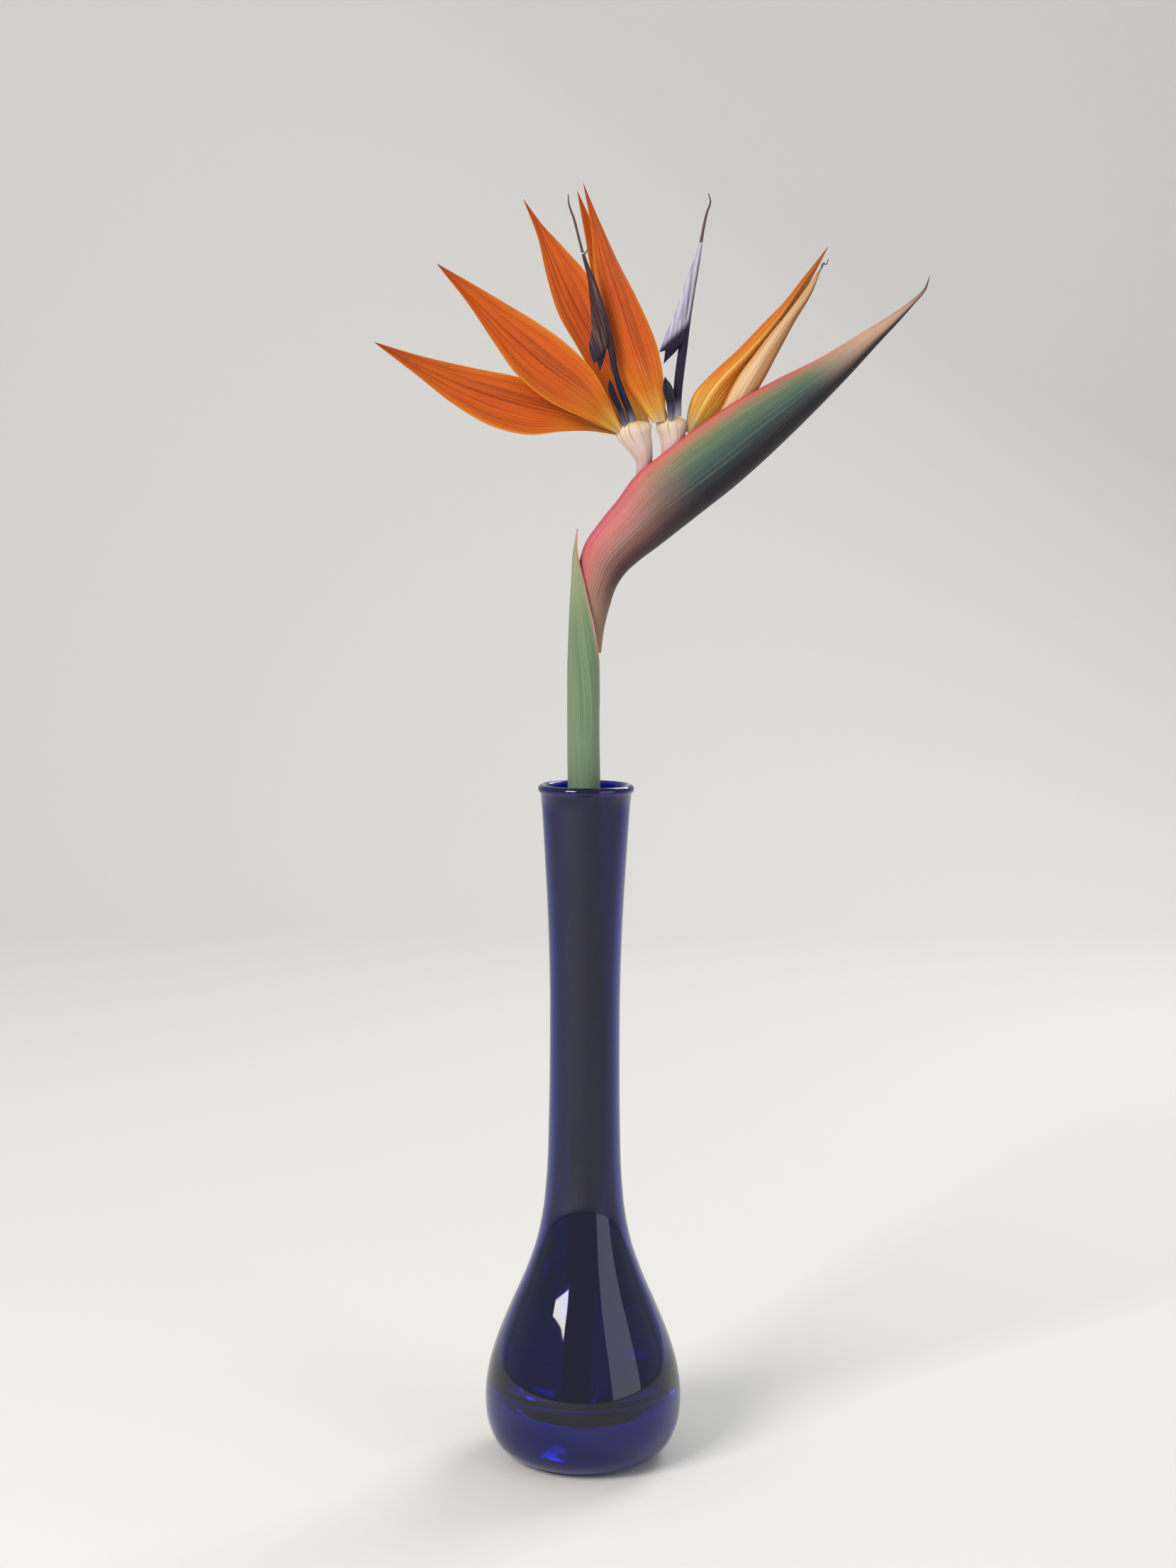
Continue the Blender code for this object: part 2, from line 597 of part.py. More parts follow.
def build_floret_b(orange, white, navy, lavender, dark):
    tube(
        "floret_b_base",
        [
            from_rachis(66),
            (23.6, 5.4, 406.5, 2.0, 2.2),
            (28.0, 5.6, 414.0, 2.6, 3.0),
            (33.0, 5.8, 422.5, 3.6, 3.7),
            (35.2, 5.6, 430.0, 4.7, 4.2),
            (35.2, 5.4, 436.0, 5.5, 4.6),
            (34.6, 5.2, 440.4, 6.3, 4.8),
        ],
        white,
        rows=12,
    )
    leaf(
        "sepal_b_front",
        [
            (28.8, 1.6, 441.2),
            (18.5, -0.4, 452.5),
            (10.5, -1.0, 468.0),
            (5.0, -1.0, 488.0),
            (2.0, 0.0, 505.0),
            (1.0, 1.0, 520.0),
            (-2.5, 3.0, 538.5),
        ],
        [
            (30.4, 0.8, 441.2),
            (21.5, -3.0, 464.0),
            (13.0, -3.4, 489.5),
            (5.0, -1.0, 514.0),
            (-2.5, 3.0, 538.5),
        ],
        [
            (32.2, 1.2, 441.4),
            (31.5, -0.4, 455.0),
            (28.5, -1.0, 471.0),
            (21.0, -1.0, 489.0),
            (11.0, 0.0, 508.0),
            (4.0, 1.0, 523.0),
            (-2.5, 3.0, 538.5),
        ],
        SEPAL_THICK,
        orange,
    )
    leaf(
        "sepal_b_back",
        [
            (30.0, 9.0, 441.2),
            (18.0, 7.4, 456.5),
            (8.0, 6.6, 481.0),
            (1.5, 6.4, 501.0),
            (-2.0, 6.6, 519.0),
            (-5.0, 7.0, 536.0),
        ],
        [
            (32.0, 9.8, 441.2),
            (21.0, 9.4, 466.0),
            (9.5, 9.4, 493.0),
            (1.5, 8.6, 516.5),
            (-5.0, 7.0, 536.0),
        ],
        [
            (34.0, 9.2, 441.2),
            (26.0, 7.2, 468.5),
            (13.0, 6.6, 496.0),
            (4.0, 6.4, 517.0),
            (-5.0, 7.0, 536.0),
        ],
        SEPAL_THICK,
        orange,
    )
    leaf(
        "sepal_b_keel",
        [
            (41.0, 6.4, 441.4),
            (44.0, 7.4, 452.5),
            (51.0, 8.8, 460.5),
            (61.5, 9.8, 470.5),
            (71.5, 10.2, 481.0),
            (81.5, 10.0, 491.0),
            (89.5, 9.2, 501.0),
            (99.5, 8.0, 514.0),
        ],
        [
            (42.8, 5.2, 440.6),
            (53.0, 5.8, 455.5),
            (66.0, 7.2, 469.0),
            (79.5, 7.8, 484.5),
            (90.5, 7.9, 501.0),
            (99.5, 8.0, 514.0),
        ],
        [
            (43.8, 7.8, 439.0),
            (59.5, 13.0, 450.5),
            (70.5, 14.6, 465.0),
            (80.5, 14.0, 480.0),
            (90.5, 11.6, 497.0),
            (99.5, 8.0, 514.0),
        ],
        SEPAL_THICK,
        orange,
    )
    spine = [
        (37.0, 5.4, 441.3, 2.0, 1.7),
        (37.0, 4.6, 450.0, 1.9, 1.7),
        (37.8, 3.4, 460.0, 1.9, 1.7),
        (39.0, 2.4, 470.0, 1.9, 1.8),
        (40.4, 1.4, 482.0, 1.8, 2.0),
        (42.4, 0.6, 495.0, 1.6, 1.8),
        (44.4, 0.2, 505.0, 1.2, 1.3),
        (46.0, 0.0, 513.5, 0.7, 0.8),
    ]
    arrow = tube("arrow_b", spine, lavender, rows=14, sides=10)
    for name, shift, tip in (
        ("arrow_b_near_lobe", -1.0, (29.2, -1.6, 469.2)),
        ("arrow_b_far_lobe", 1.0, (31.2, 2.4, 464.8)),
    ):
        lobe = leaf(
            name,
            [
                (45.2, 0.0, 512.0),
                (42.4, 0.3 * shift, 505.0),
                (39.4, 0.8 * shift, 496.0),
                (36.0, shift, 486.0),
                (32.6 + 0.4 * shift, 1.2 * shift, 477.0),
                tip,
            ],
            [
                (45.7, 0.0, 512.0),
                (43.2, 0.4 * shift, 505.0),
                (40.8, shift, 496.0),
                (38.2, 1.6 * shift, 486.0),
                (35.4, 1.8 * shift, 476.5),
                tip,
            ],
            [
                (46.2, 0.0, 512.0),
                (44.4, 0.4 * shift, 505.0),
                (42.4, 0.8 * shift, 496.0),
                (40.6, 1.2 * shift + 0.6, 486.0),
                (38.4, 1.4 * shift + 1.0, 473.0),
                tip,
            ],
            LOBE_THICK,
            None,
            rows=10,
            across=4,
        )
        boolean(arrow, lobe, "UNION")
    leaf(
        "nectary_b",
        [
            (33.6, 1.2, 441.4),
            (32.8, -1.4, 447.0),
            (31.2, -1.4, 453.5),
            (31.6, -1.4, 459.5),
        ],
        [
            (34.4, 0.8, 441.4),
            (34.2, -2.6, 447.5),
            (33.4, -3.0, 453.5),
            (31.6, -1.4, 459.5),
        ],
        [
            (35.4, 1.4, 441.4),
            (35.8, -0.6, 447.5),
            (35.0, -1.0, 454.0),
            (31.6, -1.4, 459.5),
        ],
        LOBE_THICK * 0.7,
        navy,
        rows=8,
        across=4,
    )
    tube(
        "stigma_b",
        [
            (46.1, 0.0, 514.1, 0.7, 0.7),
            (46.9, 0.0, 519.0, 0.6, 0.6),
            (48.4, -0.3, 526.0, 0.5, 0.5),
            (49.8, -0.6, 531.0, 0.35, 0.35),
            (48.9, -0.6, 533.8, 0.2, 0.2),
        ],
        dark,
        rows=8,
        sides=6,
    )


def build_floret_c(white, cream):
    tube(
        "floret_c_base",
        [
            from_rachis(28),
            (29.5, 5.4, 404.4, 1.9, 2.1),
            (37.0, 6.2, 413.5, 2.5, 2.8),
            (47.0, 7.0, 427.0, 3.2, 3.3),
            (57.4, 7.8, 440.6, 4.0, 3.4),
        ],
        white,
        rows=12,
    )
    left = [
        (54.0, 7.4, 443.6),
        (63.0, 6.6, 460.5),
        (71.5, 6.6, 472.0),
        (78.5, 6.6, 481.0),
        (87.5, 6.6, 492.5),
        (96.6, 6.6, 505.5),
    ]
    right = [
        (61.6, 7.4, 440.4),
        (75.0, 6.6, 462.6),
        (80.2, 6.6, 472.6),
        (86.0, 6.6, 483.4),
        (92.6, 6.6, 494.8),
        (96.6, 6.6, 505.5),
    ]
    for name, bulge in (("bud_sepal_near", -1.0), ("bud_sepal_far", 1.0)):
        apart = 0.55 * bulge
        edge = [(x, y + apart, z) for x, y, z in left[:-1]] + [left[-1]]
        far_edge = [(x, y + apart, z) for x, y, z in right[:-1]] + [right[-1]]
        shift = np.array((0.0, 0.5 * bulge, 0.0))
        rib = [
            (57.8, 7.4 + 2.6 * bulge, 442.2),
            (69.0, 6.6 + 2.9 * bulge, 461.8),
            (75.8, 6.6 + 2.6 * bulge, 472.6),
            (82.4, 6.6 + 2.0 * bulge, 482.6),
            (90.2, 6.6 + 1.2 * bulge, 493.8),
            (97.0, 6.6, 505.5),
        ]
        lines = [[tuple(np.array(p) + shift) for p in line] for line in (edge, rib, far_edge)]
        leaf(name, *lines, SEPAL_THICK * 0.8, cream, crease=0.15)


def build():
    for old in list(bpy.data.objects):
        bpy.data.objects.remove(old, do_unlink=True)
    build_vase()
    build_water()
    build_scape()
    build_sheath()
    build_spathe()
    orange = material("sepal_orange", (0.62, 0.10, 0.008), 0.5)
    white = material("floret_white", (0.62, 0.45, 0.38), 0.45)
    navy = material("petal_navy", (0.03, 0.03, 0.10), 0.45)
    lavender = material("petal_lavender", (0.25, 0.24, 0.36), 0.5)
    dark = material("stigma_brown", (0.05, 0.02, 0.02), 0.5)
    cream = material("bud_cream", (0.65, 0.42, 0.22), 0.5)
    build_floret_a(orange, white, navy, dark)
    build_floret_b(orange, white, navy, lavender, dark)
    build_floret_c(white, cream)


build()
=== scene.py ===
"""The look of the bird of paradise flower in its glass bottle vase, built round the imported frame."""

import json
import math

import bmesh
import bpy
import numpy as np
from mathutils import Matrix, Vector


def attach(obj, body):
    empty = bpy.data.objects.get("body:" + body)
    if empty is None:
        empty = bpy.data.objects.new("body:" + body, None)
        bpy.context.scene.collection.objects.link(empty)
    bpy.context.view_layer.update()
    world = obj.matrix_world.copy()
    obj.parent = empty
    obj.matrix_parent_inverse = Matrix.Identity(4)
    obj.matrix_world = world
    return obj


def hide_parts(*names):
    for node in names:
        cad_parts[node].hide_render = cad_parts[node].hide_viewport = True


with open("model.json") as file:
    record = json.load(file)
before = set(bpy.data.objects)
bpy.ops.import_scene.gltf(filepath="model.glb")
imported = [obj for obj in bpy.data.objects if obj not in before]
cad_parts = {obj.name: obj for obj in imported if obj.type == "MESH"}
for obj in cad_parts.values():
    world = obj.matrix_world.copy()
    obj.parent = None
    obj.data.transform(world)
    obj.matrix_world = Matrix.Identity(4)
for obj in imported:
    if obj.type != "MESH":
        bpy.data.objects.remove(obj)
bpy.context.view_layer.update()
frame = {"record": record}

MM = 0.001
GAP = 0.3  # clearance between pieces that touch

# Vase
VASE_HEIGHT = 290.0
VASE_FOOT_RADIUS = 24.5
VASE_WALL = 3.0
RIM_BEAD_RADIUS = 1.9
RIM_OUTER_RADIUS = 20.3
CAVITY_FLOOR = 18.0
VASE_SIDES = 144
WATER_LEVEL = 190.0
WATER_GAP = 0.4

# Stalk and the bracts around it
STALK_RADIUS = 6.8
SHEATH_WALL = 1.0
SHEATH_FOOT = 236.4
SPATHE_WALL = 1.1
RACHIS_END = (19.0, 5.2, 397.5)  # centre of the stalk's rounded end inside the beak
RACHIS_RADIUS = 4.4

# Thickness of the floret's leaves
SEPAL_THICK = 1.1
LOBE_THICK = 1.7

SLOTS = {node["node"]: node["material_slot"] for node in frame["record"]["subparts"]}


# ---------------------------------------------------------------- materials


class Paint:
    """A Principled material whose colour is mixed from procedural nodes."""

    def __init__(self, name, roughness=0.5):
        self.made = bpy.data.materials.new(name)
        self.made.use_nodes = True
        self.tree = self.made.node_tree
        self.shader = self.tree.nodes["Principled BSDF"]
        self.shader.inputs["Roughness"].default_value = roughness

    def plug(self, socket, value):
        """Links a node's output to a socket, or sets the socket to a plain value."""
        if isinstance(value, bpy.types.NodeSocket):
            self.tree.links.new(value, socket)
        elif isinstance(value, tuple) and len(value) == 3 and socket.type == "RGBA":
            socket.default_value = (*value, 1.0)
        else:
            socket.default_value = value

    def grid(self, name):
        """A number kept on the mesh: along is 0 at the base and 1 at the tip, and across is -1 to 1 from edge
        to edge. around is 0 to 1 round half a tube, and inner is 1 on a sheet's inner face."""
        node = self.tree.nodes.new("ShaderNodeAttribute")
        node.attribute_name = name
        return node.outputs["Fac"]

    def place(self):
        """The x, y and z outputs of the point in the frame, in metres."""
        coords = self.tree.nodes.new("ShaderNodeTexCoord")
        split = self.tree.nodes.new("ShaderNodeSeparateXYZ")
        self.plug(split.inputs[0], coords.outputs["Object"])
        return split.outputs

    def math(self, operation, *values):
        node = self.tree.nodes.new("ShaderNodeMath")
        node.operation = operation
        for socket, value in zip(node.inputs, values):
            self.plug(socket, value)
        return node.outputs[0]

    def between(self, value, low, high):
        """0 up to low, 1 from high, and smooth between them."""
        node = self.tree.nodes.new("ShaderNodeMapRange")
        node.interpolation_type = "SMOOTHSTEP"
        for socket, number in zip(node.inputs, (value, low, high, 0.0, 1.0)):
            self.plug(socket, number)
        return node.outputs[0]

    def ramp(self, value, stops):
        """The colour at value, between stops of (position, colour)."""
        node = self.tree.nodes.new("ShaderNodeValToRGB")
        steps = node.color_ramp.elements
        while len(steps) < len(stops):
            steps.new(1.0)
        for step, (position, color) in zip(steps, stops):
            step.position = position
            step.color = (*color, 1.0)
        self.plug(node.inputs[0], value)
        return node.outputs["Color"]

    def mix(self, share, first, second, blend="MIX"):
        """The first colour with that share of the second mixed in."""
        node = self.tree.nodes.new("ShaderNodeMix")
        node.data_type = "RGBA"
        node.blend_type = blend
        colors = [s for s in node.inputs if s.type == "RGBA"]
        self.plug(node.inputs[0], share)
        self.plug(colors[0], first)
        self.plug(colors[1], second)
        return [s for s in node.outputs if s.type == "RGBA"][0]

    def streaks(self, u, v, fine, long, seed=0.0):
        """Noise drawn out along v: fine streaks across and long ones along."""
        join = self.tree.nodes.new("ShaderNodeCombineXYZ")
        self.plug(join.inputs[0], self.math("MULTIPLY", u, fine))
        self.plug(join.inputs[1], self.math("MULTIPLY", v, long))
        join.inputs[2].default_value = seed
        noise = self.tree.nodes.new("ShaderNodeTexNoise")
        noise.inputs["Scale"].default_value = 1.0
        noise.inputs["Detail"].default_value = 3.0
        self.plug(noise.inputs["Vector"], join.outputs[0])
        return noise.outputs["Fac"]

    def relief(self, height, depth):
        """Bumps of that depth in metres."""
        node = self.tree.nodes.new("ShaderNodeBump")
        node.inputs["Strength"].default_value = 1.0
        node.inputs["Distance"].default_value = depth
        self.plug(node.inputs["Height"], height)
        self.plug(self.shader.inputs["Normal"], node.outputs["Normal"])

    def finish(self, color, **fixed):
        """Sets the colour and any other socket, named with _ for its spaces, and returns the material."""
        self.plug(self.shader.inputs["Base Color"], color)
        for name, value in fixed.items():
            self.shader.inputs[name.replace("_", " ")].default_value = value
        return self.made


def petal(paint, color, u, v, glow=0.12):
    """Veins drawn on a petal's colour, with a little light passing into it."""
    fine = paint.streaks(u, v, 26.0, 1.6, seed=3.0)
    broad = paint.streaks(u, v, 7.0, 1.1, seed=8.0)
    shade = paint.math("ADD", paint.math("MULTIPLY", fine, 0.7), paint.math("MULTIPLY", broad, 0.5))
    paint.relief(shade, 0.0006)
    veined = paint.mix(paint.between(shade, 0.50, 0.80), color, (0.42, 0.36, 0.34), "MULTIPLY")
    return paint.finish(veined, Subsurface_Weight=glow, Subsurface_Scale=0.003, Specular_IOR_Level=0.28)


def sepal_orange():
    """Pale foot, orange blade with lighter edges, painted shade darkening the midrib's crease, and a dry
    brown tip.
    """
    paint = Paint("sepal_orange_look", 0.46)
    u, v = paint.grid("across"), paint.grid("along")
    wide = paint.math("ABSOLUTE", u)
    color = paint.ramp(
        v,
        [
            (0.0, (0.74, 0.56, 0.30)),
            (0.05, (0.76, 0.42, 0.06)),
            (0.14, (0.66, 0.18, 0.008)),
            (0.30, (0.58, 0.098, 0.003)),
            (0.75, (0.60, 0.105, 0.003)),
            (0.97, (0.52, 0.09, 0.006)),
            (1.0, (0.16, 0.045, 0.015)),
        ],
    )
    cloud = paint.between(paint.streaks(u, v, 3.0, 3.0, seed=5.0), 0.45, 0.75)
    color = paint.mix(paint.math("MULTIPLY", cloud, 0.55), color, (0.50, 0.055, 0.004))
    edge = paint.between(wide, 0.72, 1.0)
    color = paint.mix(paint.math("MULTIPLY", edge, 0.6), color, (0.76, 0.24, 0.012))
    # painted shade: a dark red band along the midrib, where the blade is creased
    rib = paint.math("SUBTRACT", 1.0, paint.between(wide, 0.01, 0.07))
    color = paint.mix(paint.math("MULTIPLY", rib, 0.5), color, (0.38, 0.035, 0.003))
    return petal(paint, color, u, v)


def sepal_keeled():
    """Orange with a yellow line along the keel that fades towards the tip."""
    paint = Paint("sepal_keeled_look", 0.46)
    u, v = paint.grid("across"), paint.grid("along")
    color = paint.ramp(
        v,
        [
            (0.0, (0.78, 0.62, 0.30)),
            (0.10, (0.74, 0.38, 0.05)),
            (0.28, (0.70, 0.22, 0.012)),
            (0.95, (0.66, 0.17, 0.010)),
            (1.0, (0.40, 0.14, 0.04)),
        ],
    )
    from_keel = paint.math("ABSOLUTE", paint.math("ADD", u, 0.06))
    keel = paint.math("SUBTRACT", 1.0, paint.between(from_keel, 0.02, 0.13))
    low = paint.math("SUBTRACT", 1.0, paint.between(v, 0.45, 0.85))
    share = paint.math("MULTIPLY", keel, paint.math("MULTIPLY", low, 0.85))
    color = paint.mix(share, color, (0.86, 0.56, 0.16))
    return petal(paint, color, u, v)


def bud_cream():
    """Cream at the left edge, turning brown-orange to the right, where the brown is painted shade."""
    paint = Paint("bud_cream_look", 0.5)
    u, v = paint.grid("across"), paint.grid("along")
    # painted shade: the ramp across the bud darkens from cream to brown towards its right side
    color = paint.ramp(
        paint.math("ADD", paint.math("MULTIPLY", u, 0.5), 0.5),
        [
            (0.0, (0.72, 0.36, 0.12)),
            (0.22, (0.80, 0.56, 0.32)),
            (0.55, (0.74, 0.46, 0.24)),
            (0.80, (0.52, 0.25, 0.09)),
            (1.0, (0.30, 0.12, 0.04)),
        ],
    )
    color = paint.mix(paint.between(v, 0.90, 1.0), color, (0.34, 0.18, 0.09))
    return petal(paint, color, u, v)


def floret_white():
    """Pinkish white, yellow at the top."""
    paint = Paint("floret_white_look", 0.42)
    u, v = paint.grid("around"), paint.grid("along")
    color = paint.ramp(
        v,
        [
            (0.0, (0.50, 0.30, 0.26)),
            (0.45, (0.50, 0.29, 0.27)),
            (0.75, (0.58, 0.44, 0.40)),
            (0.90, (0.62, 0.50, 0.38)),
            (1.0, (0.62, 0.42, 0.14)),
        ],
    )
    fine = paint.streaks(u, v, 20.0, 1.5, seed=1.0)
    paint.relief(fine, 0.0005)
    color = paint.mix(paint.between(fine, 0.5, 0.8), color, (0.66, 0.40, 0.38), "MULTIPLY")
    return paint.finish(color, Subsurface_Weight=0.2, Subsurface_Scale=0.004)


def petal_navy():
    """Navy with a pale foot."""
    paint = Paint("petal_navy_look", 0.38)
    u, v = paint.grid("across"), paint.grid("along")
    color = paint.ramp(
        v,
        [
            (0.0, (0.42, 0.44, 0.54)),
            (0.22, (0.10, 0.10, 0.20)),
            (0.45, (0.010, 0.008, 0.032)),
        ],
    )
    return petal(paint, color, u, v, glow=0.0)


# How far each arrow leans to +X for each unit of height
ARROW_A_LEAN = -0.32
ARROW_B_LEAN = 0.161
ARROW_B_AXIS = 0.039 - ARROW_B_LEAN * 0.470  # x of arrow B's axis carried down to height 0, in metres


def arrow_streaks(paint, lean):
    """The outputs x, z, x measured along the lean, and streaks that follow it."""
    x, _, z = paint.place()
    across = paint.math("SUBTRACT", x, paint.math("MULTIPLY", z, lean))
    return x, z, across, paint.streaks(across, z, 1500.0, 60.0, seed=2.0)


def arrow_plum():
    """Dark purple-brown with tan stripes above, navy on the shaft."""
    paint = Paint("arrow_plum_look", 0.36)
    _, z, _, lines = arrow_streaks(paint, ARROW_A_LEAN)
    upper = paint.ramp(
        lines,
        [
            (0.42, (0.022, 0.008, 0.014)),
            (0.60, (0.075, 0.03, 0.032)),
            (0.74, (0.30, 0.16, 0.10)),
        ],
    )
    color = paint.mix(paint.between(z, 0.463, 0.476), (0.008, 0.007, 0.028), upper)
    color = paint.mix(paint.between(z, 0.494, 0.508), color, (0.05, 0.018, 0.014))
    pale = paint.math("SUBTRACT", 1.0, paint.between(z, 0.438, 0.447))
    color = paint.mix(paint.math("MULTIPLY", pale, 0.7), color, (0.35, 0.36, 0.46))
    paint.relief(lines, 0.0005)
    return paint.finish(color, Specular_IOR_Level=0.25)


def arrow_lavender():
    """Pale lavender-grey above, navy below and along the right side, pale at the foot: the lavender is
    painted light and the navy is painted shade.
    """
    paint = Paint("arrow_lavender_look", 0.42)
    x, z, across, lines = arrow_streaks(paint, ARROW_B_LEAN)
    # painted light: the pale lavender-grey of the arrow's lit top
    lit = paint.ramp(
        lines,
        [
            (0.35, (0.20, 0.19, 0.29)),
            (0.55, (0.40, 0.38, 0.48)),
            (0.75, (0.58, 0.55, 0.62)),
        ],
    )
    # painted shade: navy on the right side of the fold and underneath
    navy = (0.010, 0.007, 0.028)
    side = paint.between(across, ARROW_B_AXIS - 0.0002, ARROW_B_AXIS + 0.0012)
    top = paint.mix(side, lit, navy)
    slope = paint.math("ADD", z, paint.math("MULTIPLY", x, -0.9))
    color = paint.mix(paint.between(slope, 0.4425, 0.4465), navy, top)
    foot = paint.math("SUBTRACT", 1.0, paint.between(z, 0.441, 0.452))
    color = paint.mix(paint.math("MULTIPLY", foot, 0.85), color, (0.50, 0.53, 0.64))
    paint.relief(lines, 0.0005)
    return paint.finish(color, Specular_IOR_Level=0.25)


def stigma_brown():
    """Dry brown."""
    paint = Paint("stigma_brown_look", 0.5)
    v = paint.grid("along")
    lines = paint.streaks(paint.grid("around"), v, 6.0, 5.0)
    color = paint.ramp(lines, [(0.35, (0.025, 0.012, 0.010)), (0.70, (0.13, 0.07, 0.04))])
    return paint.finish(color)


def stalk_green():
    """Green with fine lengthwise streaks."""
    paint = Paint("stalk_green_look", 0.42)
    u, v = paint.grid("around"), paint.grid("along")
    lines = paint.streaks(u, v, 40.0, 3.0, seed=4.0)
    color = paint.ramp(
        lines,
        [
            (0.30, (0.09, 0.15, 0.06)),
            (0.55, (0.15, 0.23, 0.10)),
            (0.80, (0.24, 0.32, 0.16)),
        ],
    )
    paint.relief(lines, 0.0004)
    return paint.finish(color)


def sheath_green():
    """Sage green with veins, yellower above, with a pink-brown margin and a brown tip."""
    paint = Paint("sheath_green_look", 0.5)
    u, v = paint.grid("across"), paint.grid("along")
    lines = paint.streaks(u, v, 60.0, 2.5, seed=6.0)
    color = paint.ramp(
        lines,
        [
            (0.30, (0.085, 0.15, 0.075)),
            (0.52, (0.14, 0.22, 0.115)),
            (0.78, (0.24, 0.31, 0.18)),
        ],
    )
    paint.relief(lines, 0.0005)
    high = paint.between(v, 0.70, 0.97)
    color = paint.mix(paint.math("MULTIPLY", high, 0.7), color, (0.42, 0.42, 0.20))
    margin = paint.between(paint.math("ABSOLUTE", u), 0.90, 0.985)
    color = paint.mix(paint.math("MULTIPLY", margin, paint.between(v, 0.5, 0.7)), color, (0.46, 0.26, 0.18))
    color = paint.mix(paint.between(v, 0.975, 0.995), color, (0.16, 0.07, 0.04))
    return paint.finish(color, Sheen_Weight=0.1)


def beak_green():
    """Red along the margins, green below them and near black at the keel, which is painted shade on the
    underside; pink elbow and peach tip.
    """
    paint = Paint("beak_green_look", 0.42)
    u, v = paint.grid("across"), paint.grid("along")
    wide = paint.math("ABSOLUTE", u)
    lines = paint.streaks(u, v, 46.0, 3.0, seed=7.0)
    drift = paint.math("ADD", wide, paint.math("MULTIPLY", paint.math("SUBTRACT", lines, 0.5), 0.10))
    # painted shade: the stops near 0 are the keel on the underside, made near black
    color = paint.ramp(
        drift,
        [
            (0.0, (0.10, 0.04, 0.02)),
            (0.05, (0.008, 0.005, 0.009)),
            (0.28, (0.012, 0.009, 0.014)),
            (0.40, (0.028, 0.042, 0.040)),
            (0.52, (0.055, 0.095, 0.078)),
            (0.66, (0.11, 0.15, 0.075)),
            (0.76, (0.26, 0.17, 0.09)),
            (0.85, (0.52, 0.13, 0.10)),
            (1.0, (0.48, 0.030, 0.035)),
        ],
    )
    # painted shade: the low stops of the pink elbow are darkened in the same way on the underside
    pink = paint.ramp(
        drift,
        [
            (0.0, (0.03, 0.013, 0.016)),
            (0.25, (0.06, 0.028, 0.030)),
            (0.45, (0.24, 0.10, 0.075)),
            (0.65, (0.46, 0.13, 0.12)),
            (0.85, (0.52, 0.075, 0.10)),
            (1.0, (0.46, 0.03, 0.05)),
        ],
    )
    color = paint.mix(paint.between(v, 0.20, 0.40), pink, color)
    neck = paint.math("SUBTRACT", 1.0, paint.between(v, 0.04, 0.17))
    color = paint.mix(paint.math("MULTIPLY", neck, 0.8), color, (0.32, 0.18, 0.12))
    peach = paint.math("MULTIPLY", paint.between(v, 0.66, 0.88), paint.between(drift, 0.20, 0.50))
    color = paint.mix(paint.math("MULTIPLY", peach, 0.85), color, (0.66, 0.38, 0.25))
    color = paint.mix(paint.between(v, 0.93, 0.99), color, (0.20, 0.08, 0.04))
    color = paint.mix(paint.math("MULTIPLY", paint.grid("inner"), 0.7), color, (0.50, 0.20, 0.10))
    bloom = paint.math("MULTIPLY", paint.between(lines, 0.45, 0.75), paint.between(drift, 0.30, 0.48))
    color = paint.mix(paint.math("MULTIPLY", bloom, 0.35), color, (0.26, 0.28, 0.27))
    paint.relief(lines, 0.0006)
    return paint.finish(color, Specular_IOR_Level=0.25)


def cobalt_glass():
    """Deep blue glass that little light crosses, darkest in its thick foot."""
    paint = Paint("cobalt_glass_look", 0.03)
    _, _, z = paint.place()
    height = paint.math("MULTIPLY", z, 10.0)
    color = paint.ramp(height, [(0.0, (0.001, 0.003, 0.09)), (0.30, (0.002, 0.006, 0.20))])
    return paint.finish(color, Transmission_Weight=0.96, IOR=1.5, Specular_IOR_Level=0.2)


def clear_water():
    paint = Paint("water_look_surface", 0.0)
    return paint.finish((0.86, 0.94, 0.96, 1.0), Transmission_Weight=1.0, IOR=1.33)


# ---------------------------------------------------------------- shared tools


def smooth(points, count):
    """count + 1 evenly spaced points of the smooth curve through the given points, one per row.

    Columns after the third, such as radii, are carried along in the same way."""
    knots = np.array(points, float)
    span = np.linalg.norm(np.diff(knots[:, :3], axis=0), axis=1)
    at = np.concatenate([[0.0], np.cumsum(span)])
    slope = np.gradient(knots, at, axis=0)
    t = np.linspace(0.0, at[-1], count + 1)
    k = np.clip(np.searchsorted(at, t, side="right") - 1, 0, len(span) - 1)
    h = span[k][:, None]
    s = ((t - at[k]) / span[k])[:, None]
    rise = knots[k] * (1 + 2 * s) * (1 - s) ** 2 + knots[k + 1] * s * s * (3 - 2 * s)
    return rise + h * (slope[k] * s * (1 - s) ** 2 - slope[k + 1] * s * s * (1 - s))


def unit(vectors):
    """Vectors scaled to length one."""
    return vectors / np.linalg.norm(vectors, axis=-1, keepdims=True)


def add_object(name, bm, surface):
    """Turns a bmesh in millimetres into a smooth-shaded piece that stands for the CAD node of that name.

    A name that is no CAD node is a guide, or a small extra if it has a slot."""
    bmesh.ops.remove_doubles(bm, verts=bm.verts, dist=1e-4)
    bmesh.ops.triangulate(bm, faces=[f for f in bm.faces if len(f.verts) > 4])
    bmesh.ops.recalc_face_normals(bm, faces=bm.faces)
    bmesh.ops.scale(bm, vec=(MM, MM, MM), verts=bm.verts)
    mesh = bpy.data.meshes.new(name + "_look")
    bm.to_mesh(mesh)
    bm.free()
    mesh.shade_smooth()
    mesh.set_sharp_from_angle(angle=math.radians(50))
    made = bpy.data.objects.new(name + "_look", mesh)
    bpy.context.scene.collection.objects.link(made)
    if surface:
        mesh.materials.append(surface)
        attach(made, "root")
        if name in SLOTS:
            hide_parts(name)
    return made


